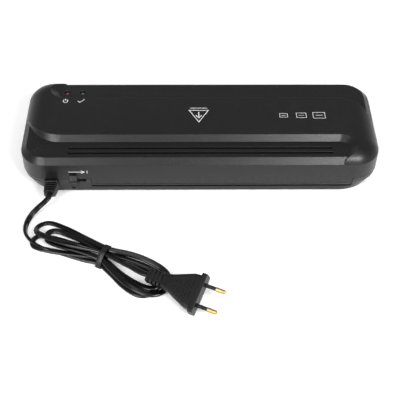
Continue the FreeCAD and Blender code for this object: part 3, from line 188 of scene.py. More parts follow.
# %% Moulded surface group
moulded, ins, outs = new_group(
    "moulded_surface", {"Grain Size": 2600.0, "Grain Depth": 0.2, "Edge Radius": 0.0004},
    {"Normal": "NodeSocketVector", "Grain": "NodeSocketFloat"})
fine = noise(moulded, ins["Grain Size"], 3.0)
coarse = noise(moulded, calc(moulded, "MULTIPLY", ins["Grain Size"], 0.22), 2.0)
grain = calc(moulded, "ADD", calc(moulded, "MULTIPLY", fine, 0.65), calc(moulded, "MULTIPLY", coarse, 0.35))
rounded = add(moulded, "ShaderNodeBevel", {"Radius": ins["Edge Radius"]}, samples=4)
bumped = add(moulded, "ShaderNodeBump", {"Strength": ins["Grain Depth"], "Distance": 0.0002, "Height": grain,
                                         "Normal": rounded.outputs["Normal"]})
moulded.links.new(bumped.outputs["Normal"], outs["Normal"])
moulded.links.new(grain, outs["Grain"])
print("moulded_surface has", len(moulded.nodes), "nodes")

# %% [markdown]
# ### Edge wear and dust
# *Pointiness* tells convex edges from hollows, so it finds the rims that hands and boxes rub. Dust is rare
# specks that settle on faces which look up, so the mask is multiplied by the upward part of the normal.

# %% Edge wear and dust groups
wear, ins, outs = new_group("edge_wear", {"Low": 0.52, "High": 0.62}, {"Mask": "NodeSocketFloat"})
pointy = add(wear, "ShaderNodeNewGeometry").outputs["Pointiness"]
edge = remap(wear, pointy, ins["Low"], ins["High"])
patchy = remap(wear, noise(wear, 260.0, 4.0), 0.35, 0.7, 0.25, 1.0)
wear.links.new(calc(wear, "MULTIPLY", edge, patchy), outs["Mask"])

dust, ins, outs = new_group("settled_dust", {"Size": 900.0, "Amount": 0.5}, {"Mask": "NodeSocketFloat"})
specks = remap(dust, noise(dust, ins["Size"], 1.0), 0.70, 0.76)
clouds = remap(dust, noise(dust, 22.0, 3.0), 0.4, 0.75, 0.1, 1.0)
facing = add(dust, "ShaderNodeSeparateXYZ", {0: add(dust, "ShaderNodeNewGeometry").outputs["Normal"]})
upward = remap(dust, facing.outputs["Z"], 0.2, 0.9)
lying = calc(dust, "MULTIPLY", calc(dust, "MULTIPLY", specks, clouds), upward)
dust.links.new(calc(dust, "MULTIPLY", lying, ins["Amount"]), outs["Mask"])
print("edge_wear has", len(wear.nodes), "nodes, settled_dust has", len(dust.nodes))

# %% [markdown]
# ### Drawn metal
# Drawn bar, rolled sheet and ground pins carry fine lines along their length. Noise that is stretched a
# hundred times along X reads as those lines.

# %% Drawn metal group
drawn, ins, outs = new_group("drawn_lines", {"Fineness": 900.0, "Depth": 0.15, "Edge Radius": 0.0003},
                             {"Normal": "NodeSocketVector", "Lines": "NodeSocketFloat"})
stretch = add(drawn, "ShaderNodeMapping", {"Vector": here(drawn), "Scale": (0.01, 1.0, 1.0)})
lines = noise(drawn, ins["Fineness"], 3.0, stretch.outputs["Vector"])
rounded = add(drawn, "ShaderNodeBevel", {"Radius": ins["Edge Radius"]}, samples=4)
bumped = add(drawn, "ShaderNodeBump", {"Strength": ins["Depth"], "Distance": 0.0001, "Height": lines,
                                       "Normal": rounded.outputs["Normal"]})
drawn.links.new(bumped.outputs["Normal"], outs["Normal"])
drawn.links.new(lines, outs["Lines"])
print("drawn_lines has", len(drawn.nodes), "nodes")

# %% [markdown]
# ## Finishes
# Every finish is one Principled shader with the groups wired in. Moulded plastics differ by colour, gloss,
# grain and how pale they turn where they are rubbed. Metals differ by tint and by how rough their lines are.

# %% Finish functions
BLOTCH_TONE = 0.86    # how deep the cloudy patches of a plastic are
RUB_SHARE = 0.4       # how far a rubbed edge turns to its paler colour
DUST_GREY = 0.32
DULL_TONE = 0.72      # how dark the dull patches of a metal are


def use(tree, group, **numbers):
    made = tree.nodes.new("ShaderNodeGroup")
    made.node_tree = group
    for key, value in numbers.items():
        made.inputs[key.replace("_", " ")].default_value = value
    return made.outputs


def blank(name):
    material = bpy.data.materials.new(name)
    material.use_nodes = True
    return material, material.node_tree, material.node_tree.nodes["Principled BSDF"]


def mix(tree, factor, a, b):
    made = add(tree, "ShaderNodeMix", data_type="RGBA")
    for socket, value in ((made.inputs[0], factor), (made.inputs[6], a), (made.inputs[7], b)):
        if isinstance(value, bpy.types.NodeSocket):
            tree.links.new(value, socket)
        else:
            socket.default_value = value
    return made.outputs[2]


def shade(value):
    return (*([value] * 3), 1.0) if isinstance(value, float) else (*value, 1.0)


def plastic(name, colour, rubbed, rough=0.42, grain=2600.0, depth=0.2, gloss=0.4, radius=0.0004, specks=0.35,
            coat=0.0):
    """Moulded plastic or rubber: base colour, colour of rubbed edges, gloss and grain."""
    material, tree, shader = blank(name)
    skin = use(tree, moulded, Grain_Size=grain, Grain_Depth=depth, Edge_Radius=radius)
    worn = use(tree, wear)["Mask"]
    dusty = use(tree, dust, Amount=specks)["Mask"]
    blotch = noise(tree, 35.0, 3.0)
    deep = tuple(c * BLOTCH_TONE for c in shade(colour)[:3]) + (1.0,)
    toned = mix(tree, remap(tree, blotch, 0.3, 0.7), deep, shade(colour))
    rubbed_tone = mix(tree, calc(tree, "MULTIPLY", worn, RUB_SHARE), toned, shade(rubbed))
    tree.links.new(mix(tree, dusty, rubbed_tone, shade(DUST_GREY)), shader.inputs["Base Color"])
    uneven = remap(tree, skin["Grain"], 0.35, 0.65, rough - 0.05, rough + 0.07)
    matt = calc(tree, "MULTIPLY", dusty, 0.3)
    tree.links.new(calc(tree, "ADD", uneven, matt, True), shader.inputs["Roughness"])
    tree.links.new(skin["Normal"], shader.inputs["Normal"])
    shader.inputs["Specular IOR Level"].default_value = gloss
    shader.inputs["Coat Weight"].default_value = coat
    shader.inputs["Coat Roughness"].default_value = 0.12
    return material


def metal(name, colour, rough=0.3, fineness=900.0, depth=0.15, radius=0.0003):
    """Bare or plated metal with drawn lines and a few duller patches."""
    material, tree, shader = blank(name)
    skin = use(tree, drawn, Fineness=fineness, Depth=depth, Edge_Radius=radius)
    dull = remap(tree, noise(tree, 60.0, 4.0), 0.45, 0.7)
    darker = tuple(c * DULL_TONE for c in shade(colour)[:3]) + (1.0,)
    toned = mix(tree, calc(tree, "MULTIPLY", dull, 0.5), shade(colour), darker)
    tree.links.new(toned, shader.inputs["Base Color"])
    spread = remap(tree, skin["Lines"], 0.3, 0.7, rough - 0.07, rough + 0.1)
    matt = calc(tree, "MULTIPLY", dull, 0.1)
    tree.links.new(calc(tree, "ADD", spread, matt, True), shader.inputs["Roughness"])
    tree.links.new(skin["Normal"], shader.inputs["Normal"])
    shader.inputs["Metallic"].default_value = 1.0
    return material


def lens(name, colour):
    """Tinted epoxy of an unlit lamp: the light goes in, so it looks deep and wet."""
    material, tree, shader = blank(name)
    skin = use(tree, moulded, Grain_Size=1200.0, Grain_Depth=0.03, Edge_Radius=0.0002)
    haze = remap(tree, skin["Grain"], 0.35, 0.65, 0.08, 0.16)
    tree.links.new(haze, shader.inputs["Roughness"])
    tree.links.new(skin["Normal"], shader.inputs["Normal"])
    cloud = noise(tree, 500.0, 2.0)
    pale = tuple(0.5 * c + 0.25 for c in colour) + (1.0,)
    toned = mix(tree, calc(tree, "MULTIPLY", cloud, 0.4), (*colour, 1.0), pale)
    tree.links.new(toned, shader.inputs["Base Color"])
    shader.inputs["Transmission Weight"].default_value = 0.35
    shader.inputs["Coat Weight"].default_value = 0.6
    return material


print("finish functions", [maker.__name__ for maker in (plastic, metal, lens)])

# %% Finishes of the machine
finishes = {
    "casing_plastic": plastic("casing_plastic", 0.005, 0.03, rough=0.34, grain=2400.0, depth=0.18, gloss=0.37,
                              radius=0.0008),
    "knob_plastic": plastic("knob_plastic", 0.004, 0.08, rough=0.26, grain=2400.0, depth=0.12, gloss=0.42,
                            radius=0.0005),
    "foot_rubber": plastic("foot_rubber", 0.012, 0.03, rough=0.75, grain=1500.0, depth=0.3, gloss=0.25),
    "boot_rubber": plastic("boot_rubber", 0.003, 0.03, rough=0.30, grain=2200.0, depth=0.12, gloss=0.5,
                           radius=0.00015),
    "silicone_rubber": plastic("silicone_rubber", (0.42, 0.12, 0.05), (0.5, 0.2, 0.1),
                               rough=0.6, grain=1800.0),
    "gear_nylon": plastic("gear_nylon", (0.72, 0.69, 0.60), (0.8, 0.78, 0.7),
                          rough=0.45, grain=1500.0, depth=0.1),
    "heatproof_plastic": plastic("heatproof_plastic", (0.045, 0.036, 0.03), 0.1, rough=0.55, grain=1400.0),
    "heater_sheet": plastic("heater_sheet", (0.36, 0.28, 0.15), (0.45, 0.4, 0.3),
                            rough=0.35, grain=300.0, depth=0.4),
    "circuit_board": plastic("circuit_board", (0.03, 0.14, 0.06), (0.2, 0.3, 0.15), rough=0.3, grain=700.0),
    "cord_jacket": plastic("cord_jacket", 0.002, 0.008, rough=0.16, grain=1600.0, depth=0.05, gloss=0.42,
                           specks=0.1, radius=0.0002),
    "lead_insulation": plastic("lead_insulation", (0.05, 0.09, 0.32), 0.4,
                               rough=0.3, grain=1600.0, depth=0.05),
    "terminal_plastic": plastic("terminal_plastic", (0.7, 0.69, 0.62), 0.8,
                                rough=0.4, grain=1500.0, depth=0.1),
    "tie_plastic": plastic("tie_plastic", 0.005, 0.03, rough=0.42, grain=2000.0, depth=0.15),
    "plug_plastic": plastic("plug_plastic", 0.0025, 0.02, rough=0.42, grain=1100.0, depth=0.6, gloss=0.22,
                            radius=0.0006),
    "zinc_steel": metal("zinc_steel", (0.60, 0.61, 0.63), rough=0.36),
    "bright_steel": metal("bright_steel", (0.70, 0.70, 0.71), rough=0.22),
    "screw_steel": metal("screw_steel", (0.58, 0.58, 0.56), rough=0.3),
    "spring_steel": metal("spring_steel", (0.45, 0.45, 0.46), rough=0.3),
    "heat_aluminium": metal("heat_aluminium", (0.77, 0.78, 0.79), rough=0.33, fineness=1400.0),
    "fuse_body": metal("fuse_body", (0.74, 0.58, 0.30), rough=0.3),
    "pin_brass": metal("pin_brass", (0.52, 0.36, 0.15), rough=0.34, depth=0.1),
    "red_lens": lens("red_lens", (0.30, 0.015, 0.012)),
    "green_lens": lens("green_lens", (0.03, 0.16, 0.05)),
}
print_ink = plastic("print_ink", 0.8, 0.7, rough=0.5, grain=3000.0, depth=0.05, specks=0.0, radius=0.00002)

for name, piece in nodes.items():
    finish = finishes[slot_of[name]]
    for entry in piece.material_slots:
        entry.material = finish
    if not piece.material_slots:
        piece.data.materials.append(finish)
print("finishes", len(finishes), "on", len(nodes), "nodes")

# %% [markdown]
# ## The mains lead
# A flat two-core lead leaves the machine through a ribbed rubber boot, drops to the table and is folded
# into a loose hank held by a black band. The whole lead is one smooth spline. Its first points are the route
# from the boot to the hank; the folds are worked out by a loop, because each is the same teardrop: out from
# the band, around its tip and back.

# %% Route from the boot to the hank
CORD_WIDTH, CORD_THICK = 5.2 * MM, 3.2 * MM
BOOT_X, BOOT_Z = 139.4, 14.0
ROUTE = [
    (139.4, 69.0, 14.0), (140.2, 74.5, 13.4), (144.4, 78.4, 11.2), (151.4, 82.6, 7.0), (157.8, 90.0, 3.4),
    (160.4, 101.0, 2.8), (158.9, 110.6, 2.8), (151.4, 120.2, 2.8), (140.0, 127.2, 2.4), (125.0, 131.4, 2.2),
]
print("points before the hank", len(ROUTE))

# %% Folds of the hank
BAND = np.array((86.0, 136.8))
ALONG = np.array((cos(radians(-25)), sin(radians(-25))))
ACROSS = np.array((-ALONG[1], ALONG[0]))
FOLDS = [    # tip of the fold, half its width, places across the band where it comes in and goes out
    ((41.0, 174.0), 12.5, 7.8, -7.8),
    ((151.0, 116.5), 7.2, -7.8, 2.6),
    ((36.0, 169.0), 9.0, 2.6, -2.6),
    ((138.0, 111.5), 7.6, -2.6, 6.0),
    ((31.0, 171.5), 15.5, 6.0, -5.4),
    ((147.6, 101.2), 9.8, -5.4, 0.6),
]
OUT_OF_BAND = 3.5    # where a leg of a fold leaves the band
LEG_SHAPE = ((0.42, 0.80), (0.74, 1.06))    # share of the way to the tip, share of the half width there
TIP_SWELL = 1.08
TIP_ANGLES = (75, 37, 0, -37, -75)


def fold(tip, half_width, slot_in, slot_out):
    """Points of one fold: a leg from the band, a round tip, and a leg back to the band."""
    reach = np.array(tip) - BAND
    length = np.linalg.norm(reach)
    forward = reach / length
    side = np.array((-forward[1], forward[0]))
    turn = 1 if np.dot(side, ACROSS) > 0 else -1
    hand = 1 if slot_in > slot_out else -1
    centre = length - half_width
    leg = [(share * centre, turn * hand * half_width * wide) for share, wide in LEG_SHAPE]
    loop = [(centre + half_width * TIP_SWELL * cos(radians(angle)),
             turn * hand * half_width * TIP_SWELL * sin(radians(angle))) for angle in TIP_ANGLES]
    leg_back = [(out, -lateral) for out, lateral in reversed(leg)]
    spots = [(OUT_OF_BAND, turn * slot_in), *leg, *loop, *leg_back, (OUT_OF_BAND, turn * slot_out)]
    return [BAND + forward * out + side * lateral for out, lateral in spots]


INTO_HANK = [(104.0, 139.8), (92.5, 142.2)]
OUT_TO_PLUG = [(79.0, 142.6), (69.0, 150.0), (60.0, 156.6), (52.8, 162.6), (46.2, 165.7)]
flat = [np.array(spot) for spot in INTO_HANK]
for tip, half_width, slot_in, slot_out in FOLDS:
    flat += fold(tip, half_width, slot_in, slot_out)
flat += [np.array(spot) for spot in OUT_TO_PLUG]
print("points in the hank", len(flat))

# %% [markdown]
# The folds lie on each other. Each new stretch of lead rests on whatever earlier stretch is under it, and
# otherwise on the table, so its heights are found by dropping it. Two rounds of averaging stand for the
# lead's own stiffness. Its last points climb to where the plug holds it up.

# %% Heights in the hank
FLOOR = 2.0
STEP_UP = CORD_THICK / MM + 0.15
SPLITS = 4                            # finer steps between two points while the lead is laid down
NEXT_TO_ITSELF = 14                   # steps back that belong to the same stretch
TOUCHING = 4.6                        # stretches nearer than this lie on each other
SQUEEZE_UP, SQUEEZE_REACH = 0.9, 14   # the band lifts the strands near it a little
HANK_TOP = 11.4                       # the pile is pressed down to this
CLIMB_TO_PLUG = [9.6, 11.0, 12.4, 13.3, 13.5]


def drop(points):
    """Height of every point of a flat path that is laid down from its first point to its last."""
    fine = np.array([start + (end - start) * part / SPLITS
                     for start, end in zip(points, points[1:]) for part in range(SPLITS)])
    spread = np.linalg.norm(fine - BAND, axis=1)
    heights = FLOOR + SQUEEZE_UP * np.exp(-((spread / SQUEEZE_REACH) ** 2))
    for i in range(len(fine)):
        earlier = fine[:max(0, i - NEXT_TO_ITSELF)]
        if len(earlier):
            near = np.linalg.norm(earlier - fine[i], axis=1) < TOUCHING
            if near.any():
                heights[i] = heights[:len(earlier)][near].max() + STEP_UP
    return [float(heights[i:i + SPLITS].max()) for i in range(0, len(fine), SPLITS)] + [float(heights[-1])]


heights = drop(flat)
for _ in range(2):
    padded = [heights[0], *heights, heights[-1]]
    heights = [max(FLOOR, (a + 2 * b + c) / 4) for a, b, c in zip(padded, padded[1:], padded[2:])]
top = max(heights)
if top > HANK_TOP:
    heights = [FLOOR + (h - FLOOR) * (HANK_TOP - FLOOR) / (top - FLOOR) for h in heights]
heights[-len(CLIMB_TO_PLUG):] = CLIMB_TO_PLUG
control = ROUTE + [(p[0], p[1], h) for p, h in zip(flat, heights)]
print("highest drop", round(top, 1), "control points", len(control))

# %% [markdown]
# A NURBS spline of order 3 passes smoothly along its control points. The lead is flat, so it isn't a round
# bevel: we read the spline's own points and sweep a cross-section of two joined cores along them, kept
# level so that the flat side lies down.

# %% Lead along the spline
curve = bpy.data.curves.new("lead_line", "CURVE")
curve.dimensions, curve.resolution_u = "3D", 12
spline = curve.splines.new("NURBS")
spline.points.add(len(control) - 1)
for point, place_at in zip(spline.points, control):
    point.co = (*(x * MM for x in place_at), 1.0)
spline.order_u = 3
spline.use_endpoint_u = True
guide = bpy.data.objects.new("lead_line", curve)
traced = bpy.data.meshes.new_from_object(guide)
line = np.array([v.co for v in traced.vertices])
bpy.data.objects.remove(guide)


def section(width, thick, n=20, waist=0.16):
    """Outline of a flat twin lead: an oval with a shallow groove between its two cores."""
    ring = []
    for i in range(n):
        angle = 2 * pi * i / n
        x = np.sign(cos(angle)) * abs(cos(angle)) ** 0.75 * width / 2
        groove = 1 - waist * np.exp(-((x / (width * 0.13)) ** 2))
        ring.append((x, np.sign(sin(angle)) * abs(sin(angle)) ** 0.75 * thick / 2 * groove))
    return ring


def sweep(points, outline, rolls=None):
    """Rings of an outline carried along points, with its wide side level unless rolled."""
    rings = []
    for i, point in enumerate(points):
        ahead_at, behind = points[min(i + 1, len(points) - 1)], points[max(i - 1, 0)]
        tangent = Vector(ahead_at - behind).normalized()
        sideways = tangent.cross(Vector((0, 0, 1))).normalized()
        over = sideways.cross(tangent)
        roll = rolls[i] if rolls is not None else 0.0
        wide = sideways * cos(roll) + over * sin(roll)
        high = over * cos(roll) - sideways * sin(roll)
        rings.append([Vector(point) + wide * x + high * y for x, y in outline])
    return rings


travel = np.concatenate(([0], np.cumsum(np.linalg.norm(np.diff(line, axis=0), axis=1))))
TWIST_AT, TWIST = [0, 20, 44, 70, 92, 120], [0.0, 0.15, 1.2, 1.2, 0.35, 0.0]    # millimetres, radians
WOBBLES = 34
twist = np.interp(travel / MM, TWIST_AT, TWIST)
rolls = []
for s, z, turned in zip(travel, line[:, 2], twist):
    loose = 0.25 + 70 * max(0.0, z - 0.004)
    settled = min(1.0, max(0.0, s - 0.09) / 0.05) * min(1.0, (travel[-1] - s) / 0.04)
    rolls.append(turned + loose * settled * sin(WOBBLES * s))
verts, faces = loft(sweep(line, section(CORD_WIDTH, CORD_THICK), rolls))
lead_skin = np.array([tuple(v) for v in verts])
lead = place("mains_lead", verts, faces, finishes["cord_jacket"])
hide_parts("supply_cord", "cord_hank")

# %% [markdown]
# ## Boot
# The strain relief is a moulded rubber sleeve that lets the lead bend in a gentle curve instead of at a
# sharp corner. It tapers from the wall outwards and is cut into collars with gaps between them, so it bends.
# A loft of rounded rectangles does it: wide rings for the collars, narrow ones for the gaps.

# %% Boot
def rounded_rectangle(half_x, half_z, corner, n=6):
    ring = []
    for quarter, (cx, cz) in enumerate(((1, 1), (-1, 1), (-1, -1), (1, -1))):
        for i in range(n):
            angle = pi / 2 * (quarter + i / (n - 1))
            ring.append((cx * (half_x - corner) + corner * cos(angle),
                         cz * (half_z - corner) + corner * sin(angle)))
    return ring


def bellows(stations, corner=0.3):
    """Loft along +Y: each station is (y, half_x, half_z, shift_x, shift_z) in millimetres."""
    rings = []
    for y, half_x, half_z, shift_x, shift_z in stations:
        outline = rounded_rectangle(half_x, half_z, min(half_x, half_z) * corner)
        rings.append([Vector((BOOT_X + shift_x + x, y, BOOT_Z + shift_z + z)) * MM for x, z in outline])
    return rings


WALL_Y, RIBS = 57.5, 4
INSIDE_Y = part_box("cord_boot")[0][1] / MM
NECK, GAP = (4.95, 4.95), (4.3, 3.9)
stations = [(INSIDE_Y, 5.9, 5.5, 0, 0), (INSIDE_Y + 0.3, 6.2, 5.8, 0, 0), (INSIDE_Y + 2.0, 6.2, 5.8, 0, 0),
            (INSIDE_Y + 2.1, *NECK, 0, 0), (WALL_Y + 0.1, *NECK, 0, 0), (WALL_Y + 0.12, 6.2, 5.7, 0, 0),
            (WALL_Y + 0.5, 6.6, 6.0, 0, 0), (WALL_Y + 2.1, 6.6, 6.0, 0, 0), (WALL_Y + 2.5, 6.2, 5.6, 0, 0)]
BOOT_END = 70.0
pitch = (BOOT_END - WALL_Y - 2.5) / RIBS
for rib in range(RIBS):
    start = WALL_Y + 2.5 + rib * pitch
    half_x, half_z = 6.3 - 0.35 * rib, 5.7 - 0.35 * rib
    bend = ((rib + 0.5) / RIBS) ** 2
    lean = (1.0 * bend, -0.2 * bend)
    gap = (GAP[0] - 0.25 * rib, GAP[1] - 0.25 * rib)
    stations += [(start + 0.05, *gap, *lean), (start + 1.0, *gap, *lean),
                 (start + 1.1, half_x - 0.35, half_z - 0.35, *lean), (start + 1.4, half_x, half_z, *lean),
                 (start + pitch - 0.35, half_x, half_z, *lean),
                 (start + pitch - 0.05, half_x - 0.4, half_z - 0.4, *lean)]
verts, faces = loft(bellows(stations))
boot = place("ribbed_boot", verts, faces, finishes["boot_rubber"])
crease(boot, 50)
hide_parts("cord_boot")
print("boot rings", len(stations), "from y", round(INSIDE_Y, 1), "to", round(stations[-1][0], 1), "mm")

# %% [markdown]
# ## Band around the hank
# A soft plastic band is pulled tight around the middle of the hank. It touches the outermost strands and runs
# straight between them, so its outline is the convex outline of the strands that it holds.

# %% Band
BAND_WIDTH, BAND_THICK = 5.0, 0.8
lead_points = lead_skin / MM
along = (lead_points[:, :2] - BAND) @ ALONG
across = (lead_points[:, :2] - BAND) @ ACROSS
HANK_HALF_WIDTH = 16
held = (np.abs(along) < BAND_WIDTH / 2 + 1) & (np.abs(across) < HANK_HALF_WIDTH)
profile = np.column_stack((across[held], lead_points[held, 2]))
middle = (profile.max(axis=0) + profile.min(axis=0)) / 2
looks = np.linspace(0, 2 * pi, 72, endpoint=False)
directions = np.column_stack((np.cos(looks), np.sin(looks)))
support = ((profile - middle) @ directions.T).max(axis=0)
radii = []
for look in looks:
    facing_it = np.cos(look - looks)
    radii.append(min(support[facing_it > 0.05] / facing_it[facing_it > 0.05]))
radii = np.array(radii)


def band_ring(step, swell):
    ring = []
    for r, (dx, dz) in zip(radii, directions):
        spot = BAND + ALONG * step + ACROSS * (middle[0] + dx * (r + swell))
        ring.append(Vector((*spot, max(0.15, middle[1] + dz * (r + swell)))) * MM)
    return ring


half = BAND_WIDTH / 2
rings = [band_ring(-half, 0.1), band_ring(-half, BAND_THICK - 0.2), band_ring(-half + 0.3, BAND_THICK),
         band_ring(half - 0.3, BAND_THICK), band_ring(half, BAND_THICK - 0.2), band_ring(half, 0.1)]
n, loops = len(radii), len(rings)
verts = [v for ring in rings for v in ring]
faces = [(i * n + j, i * n + (j + 1) % n, (i + 1) % loops * n + (j + 1) % n, (i + 1) % loops * n + j)
         for i in range(loops) for j in range(n)]
band = place("hank_band", verts, faces, finishes["tie_plastic"])
crease(band, 40)
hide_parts("cord_tie")
print("band outside, mm", [round(float(x), 1) for x in (profile.max(axis=0) - profile.min(axis=0))])

# %% [markdown]
# ## Grips on the plug
# The plug is pulled by its two faces, so the mould gives each of them rows of short raised ribs. The ribs
# get longer towards the pins, as the body gets wider there.

# %% Plug grips
PLUG_AT = Vector((1.2, 187.4, 13.5))
PLUG_HEADING, PLUG_TILT = radians(154.3), radians(23)
heading, tilt = Matrix.Rotation(PLUG_HEADING, 4, "Z"), Matrix.Rotation(PLUG_TILT, 4, "X")
plug_frame = Matrix.Translation(PLUG_AT) @ heading @ tilt


def plug_point(x, y, z):
    return (plug_frame @ Vector((x, y, z))) * MM


def pad(x0, x1, y0, y1, z0, z1, soften=0.5):
    """Rings of a pillow-like raised rib on the plug's face, narrowing towards its top."""
    rings = []
    for level, inset in ((z0, 0), (z0 + 0.6 * (z1 - z0), 0.05), (z1, soften)):
        cx, cy = (x0 + x1) / 2, (y0 + y1) / 2
        corner = min(x1 - x0, y1 - y0) / 2 - inset - 0.01
        outline = rounded_rectangle((x1 - x0) / 2 - inset, (y1 - y0) / 2 - inset, corner, 4)
        rings.append([plug_point(cx + a, cy + b, level) for a, b in outline])
    return rings


GRIP_ROWS, FIRST_GRIP, GRIP_PITCH, GRIP_THICK = 7, -26.5, 2.9, 1.3
GRIP_INNER, GRIP_SHORTEST, GRIP_TAPER = 0.9, 2.2, 0.40
GRIP_FOOT, GRIP_CREST = 5.4, 6.75
verts, faces = [], []
for row in range(GRIP_ROWS):
    x = FIRST_GRIP + row * GRIP_PITCH
    reach = GRIP_SHORTEST + (x + 28) * GRIP_TAPER
    for side in (-1, 1):
        for face_side in (1, -1):
            span = sorted((side * GRIP_INNER, side * reach))
            rings = pad(x, x + GRIP_THICK, *span, face_side * GRIP_FOOT, face_side * GRIP_CREST)
            if face_side == -1:
                rings = [ring[::-1] for ring in rings]
            more, skin = loft(rings, start=len(verts))
            verts += more
            faces += skin
grips = place("plug_grips", verts, faces, finishes["plug_plastic"])
crease(grips, 40)
print("grips", GRIP_ROWS * 4)

# %% [markdown]
# ## Pressure springs
# Two small steel springs push the upper roller down. When the release lifts the roller they shorten; here
# each one is a plain copy of its coil that keeps its length and rides on the root body.

# %% Copies of the springs
for name in ("pressure_spring_drive", "pressure_spring_plain"):
    coil = bpy.data.objects.new(name.replace("pressure_spring", "coil_spring"), nodes[name].data.copy())
    bpy.context.scene.collection.objects.link(coil)
    coil.matrix_world = nodes[name].matrix_world
    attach(coil, "root")
    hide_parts(name)
    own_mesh(coil)

# %% [markdown]
# ## Printed pictograms
# Light ink is pad-printed on the black covers: a mark beside each lamp, a feed arrow in a triangle, three
# sheet sizes and a release arrow. All of it is drawn as plain strokes, laid on the cover by casting a ray at
# it, a few hundredths of a millimetre proud.

# %% Print tools
from mathutils.bvhtree import BVHTree

evaluated = bpy.context.evaluated_depsgraph_get()
covers = [BVHTree.FromObject(nodes[name], evaluated) for name in ("top_cover", "bottom_cover")]
INK_LIFT = 0.05 * MM


def on_top(x, y):
    hits = [tree.ray_cast(Vector((x * MM, y * MM, 0.1)), Vector((0, 0, -1)))[0] for tree in covers]
    return max((h for h in hits if h), key=lambda h: h.z) + Vector((0, 0, INK_LIFT))


def on_rear(x, z):
    hits = [tree.ray_cast(Vector((x * MM, 0.2, z * MM)), Vector((0, -1, 0)))[0] for tree in covers]
    return max((h for h in hits if h), key=lambda h: h.y) + Vector((0, INK_LIFT, 0))


def stroke(points, width, closed=False):
    """A ribbon of even width along a polyline: two rows of points, mitred at the corners."""
    pts = [np.array(p, float) for p in points]
    count = len(pts)
    rows = []
    for i in range(count):
        before = pts[i - 1] if closed or i else pts[0] - (pts[1] - pts[0])
        after = pts[(i + 1) % count] if closed or i < count - 1 else pts[-1] + (pts[-1] - pts[-2])
        a, b = (pts[i] - before), (after - pts[i])
        a, b = a / np.linalg.norm(a), b / np.linalg.norm(b)
        bisector = a + b
        bisector /= np.linalg.norm(bisector)
        normal = np.array((-bisector[1], bisector[0]))
        reach = width / 2 / max(0.35, float(bisector @ a))
        rows.append((pts[i] - normal * reach, pts[i] + normal * reach))
    pairs = [(2 * i, 2 * ((i + 1) % count)) for i in range(count if closed else count - 1)]
    return [v for row in rows for v in row], [(a, b, b + 1, a + 1) for a, b in pairs]


def printed(name, strokes, surface):
    verts, faces = [], []
    for points, width, closed in strokes:
        more, quads = stroke(points, width, closed)
        faces += [tuple(len(verts) + i for i in quad) for quad in quads]
        verts += [surface(*v) for v in more]
    piece = place(name, verts, faces, print_ink, smooth=False)
    print(name, "strokes", len(strokes))


def circle(x, y, r, start=0.0, sweep_by=360.0, n=24):
    return [(x + r * cos(radians(start + sweep_by * i / n)), y + r * sin(radians(start + sweep_by * i / n)))
            for i in range(n if sweep_by == 360 else n + 1)]


print("covers to print on", len(covers))

# %% Pictograms
LABEL_Y, POWER_X = -21.5, 130.3
printed("power_mark", [
    (circle(POWER_X, LABEL_Y, 2.2, -60, 300), 0.6, False),
    ([(POWER_X, LABEL_Y - 3.0), (POWER_X, LABEL_Y - 0.2)], 0.6, False)], on_top)
printed("ready_mark", [
    ([(118.4, LABEL_Y), (116.2, LABEL_Y + 2.2), (112.0, LABEL_Y - 2.2)], 0.65, False)], on_top)
TRIANGLE = [(10.4, -7.4), (-8.0, -7.4), (1.2, 9.2)]
printed("feed_triangle", [
    (TRIANGLE, 0.7, True),
    ([(1.2, -5.0), (1.2, 2.6)], 0.8, False), ([(4.0, -0.4), (1.2, 3.6), (-1.6, -0.4)], 0.7, False),
    ([(9.4, -10.6), (-7.0, -10.6)], 0.6, False)], on_top)
sheets = []
for i, size in enumerate((2.6, 3.3, 4.1)):
    x = -80 - 17 * i
    half = size * 1.4
    sheets.append(([(x - half, -size), (x + half, -size), (x + half, size), (x - half, size)], 0.45, True))
    sheets.append(([(x - size * 0.8, 0), (x + size * 0.8, 0)], 0.4, False))
printed("pouch_size_marks", sheets, on_top)
printed("release_mark", [
    ([(122.5, 29.6), (108.0, 29.6)], 0.5, False),
    ([(110.6, 31.4), (107.6, 29.6), (110.6, 27.8)], 0.5, False),
    ([(105.0, 27.8), (105.0, 31.4)], 0.45, False)], on_rear)

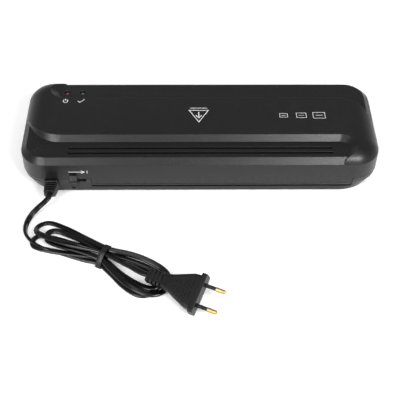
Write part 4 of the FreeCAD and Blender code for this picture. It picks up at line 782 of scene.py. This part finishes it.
# %% [markdown]
# ## Floor, light and finish
# A wide white floor stands for the studio table. Black plastic shows almost nothing of its own: its shapes
# are read from what it mirrors. So two broad soft lights, one on each side behind the camera, draw the
# sloping rear wall, a third hangs above, and a pale surrounding keeps the level faces from going dead black.

# %% Floor and light
floor_mesh = bpy.data.meshes.new("floor")
REACH = 4
corners = [(-REACH, -REACH, 0), (REACH, -REACH, 0), (REACH, REACH, 0), (-REACH, REACH, 0)]
floor_mesh.from_pydata(corners, [], [(0, 1, 2, 3)])
floor = bpy.data.objects.new("floor", floor_mesh)
bpy.context.scene.collection.objects.link(floor)
floor_paint, floor_tree, floor_shader = blank("floor_paint")
floor_tint = mix(floor_tree, noise(floor_tree, 3.0), shade(0.93), shade(0.96))
floor_tree.links.new(floor_tint, floor_shader.inputs["Base Color"])
floor_shader.inputs["Roughness"].default_value = 0.8
floor_tree.links.new(floor_tint, floor_shader.inputs["Emission Color"])
floor_shader.inputs["Emission Strength"].default_value = 0.14
floor_mesh.materials.append(floor_paint)

world = bpy.data.worlds.new("studio")
world.use_nodes = True
sky = world.node_tree
direction = add(sky, "ShaderNodeTexCoord").outputs["Generated"]
height = add(sky, "ShaderNodeSeparateXYZ", {0: direction}).outputs["Z"]
sky_tone = mix(sky, remap(sky, height, 0.05, 0.65), shade(0.85), shade(0.32))
sky.links.new(sky_tone, sky.nodes["Background"].inputs["Color"])
bpy.context.scene.world = world


def soft_light(name, at, aim, size, power):
    lamp = bpy.data.lights.new(name, "AREA")
    lamp.shape, lamp.size, lamp.size_y, lamp.energy = "RECTANGLE", *size, power
    thing = bpy.data.objects.new(name, lamp)
    bpy.context.scene.collection.objects.link(thing)
    thing.location = at
    thing.rotation_euler = (Vector(aim) - Vector(at)).to_track_quat("-Z", "Y").to_euler()
    print("light", name, power, "W")


soft_light("left_box", (0.62, 0.80, 0.78), (0.05, 0, 0.03), (0.50, 0.45), 9.0)
soft_light("right_box", (-0.48, 0.82, 0.80), (-0.05, 0, 0.03), (0.40, 0.40), 12.0)
soft_light("top", (0.0, 0.3, 2.2), (0, 0.05, 0), (1.6, 1.2), 9.0)
bpy.context.scene.view_settings.view_transform = "Standard"
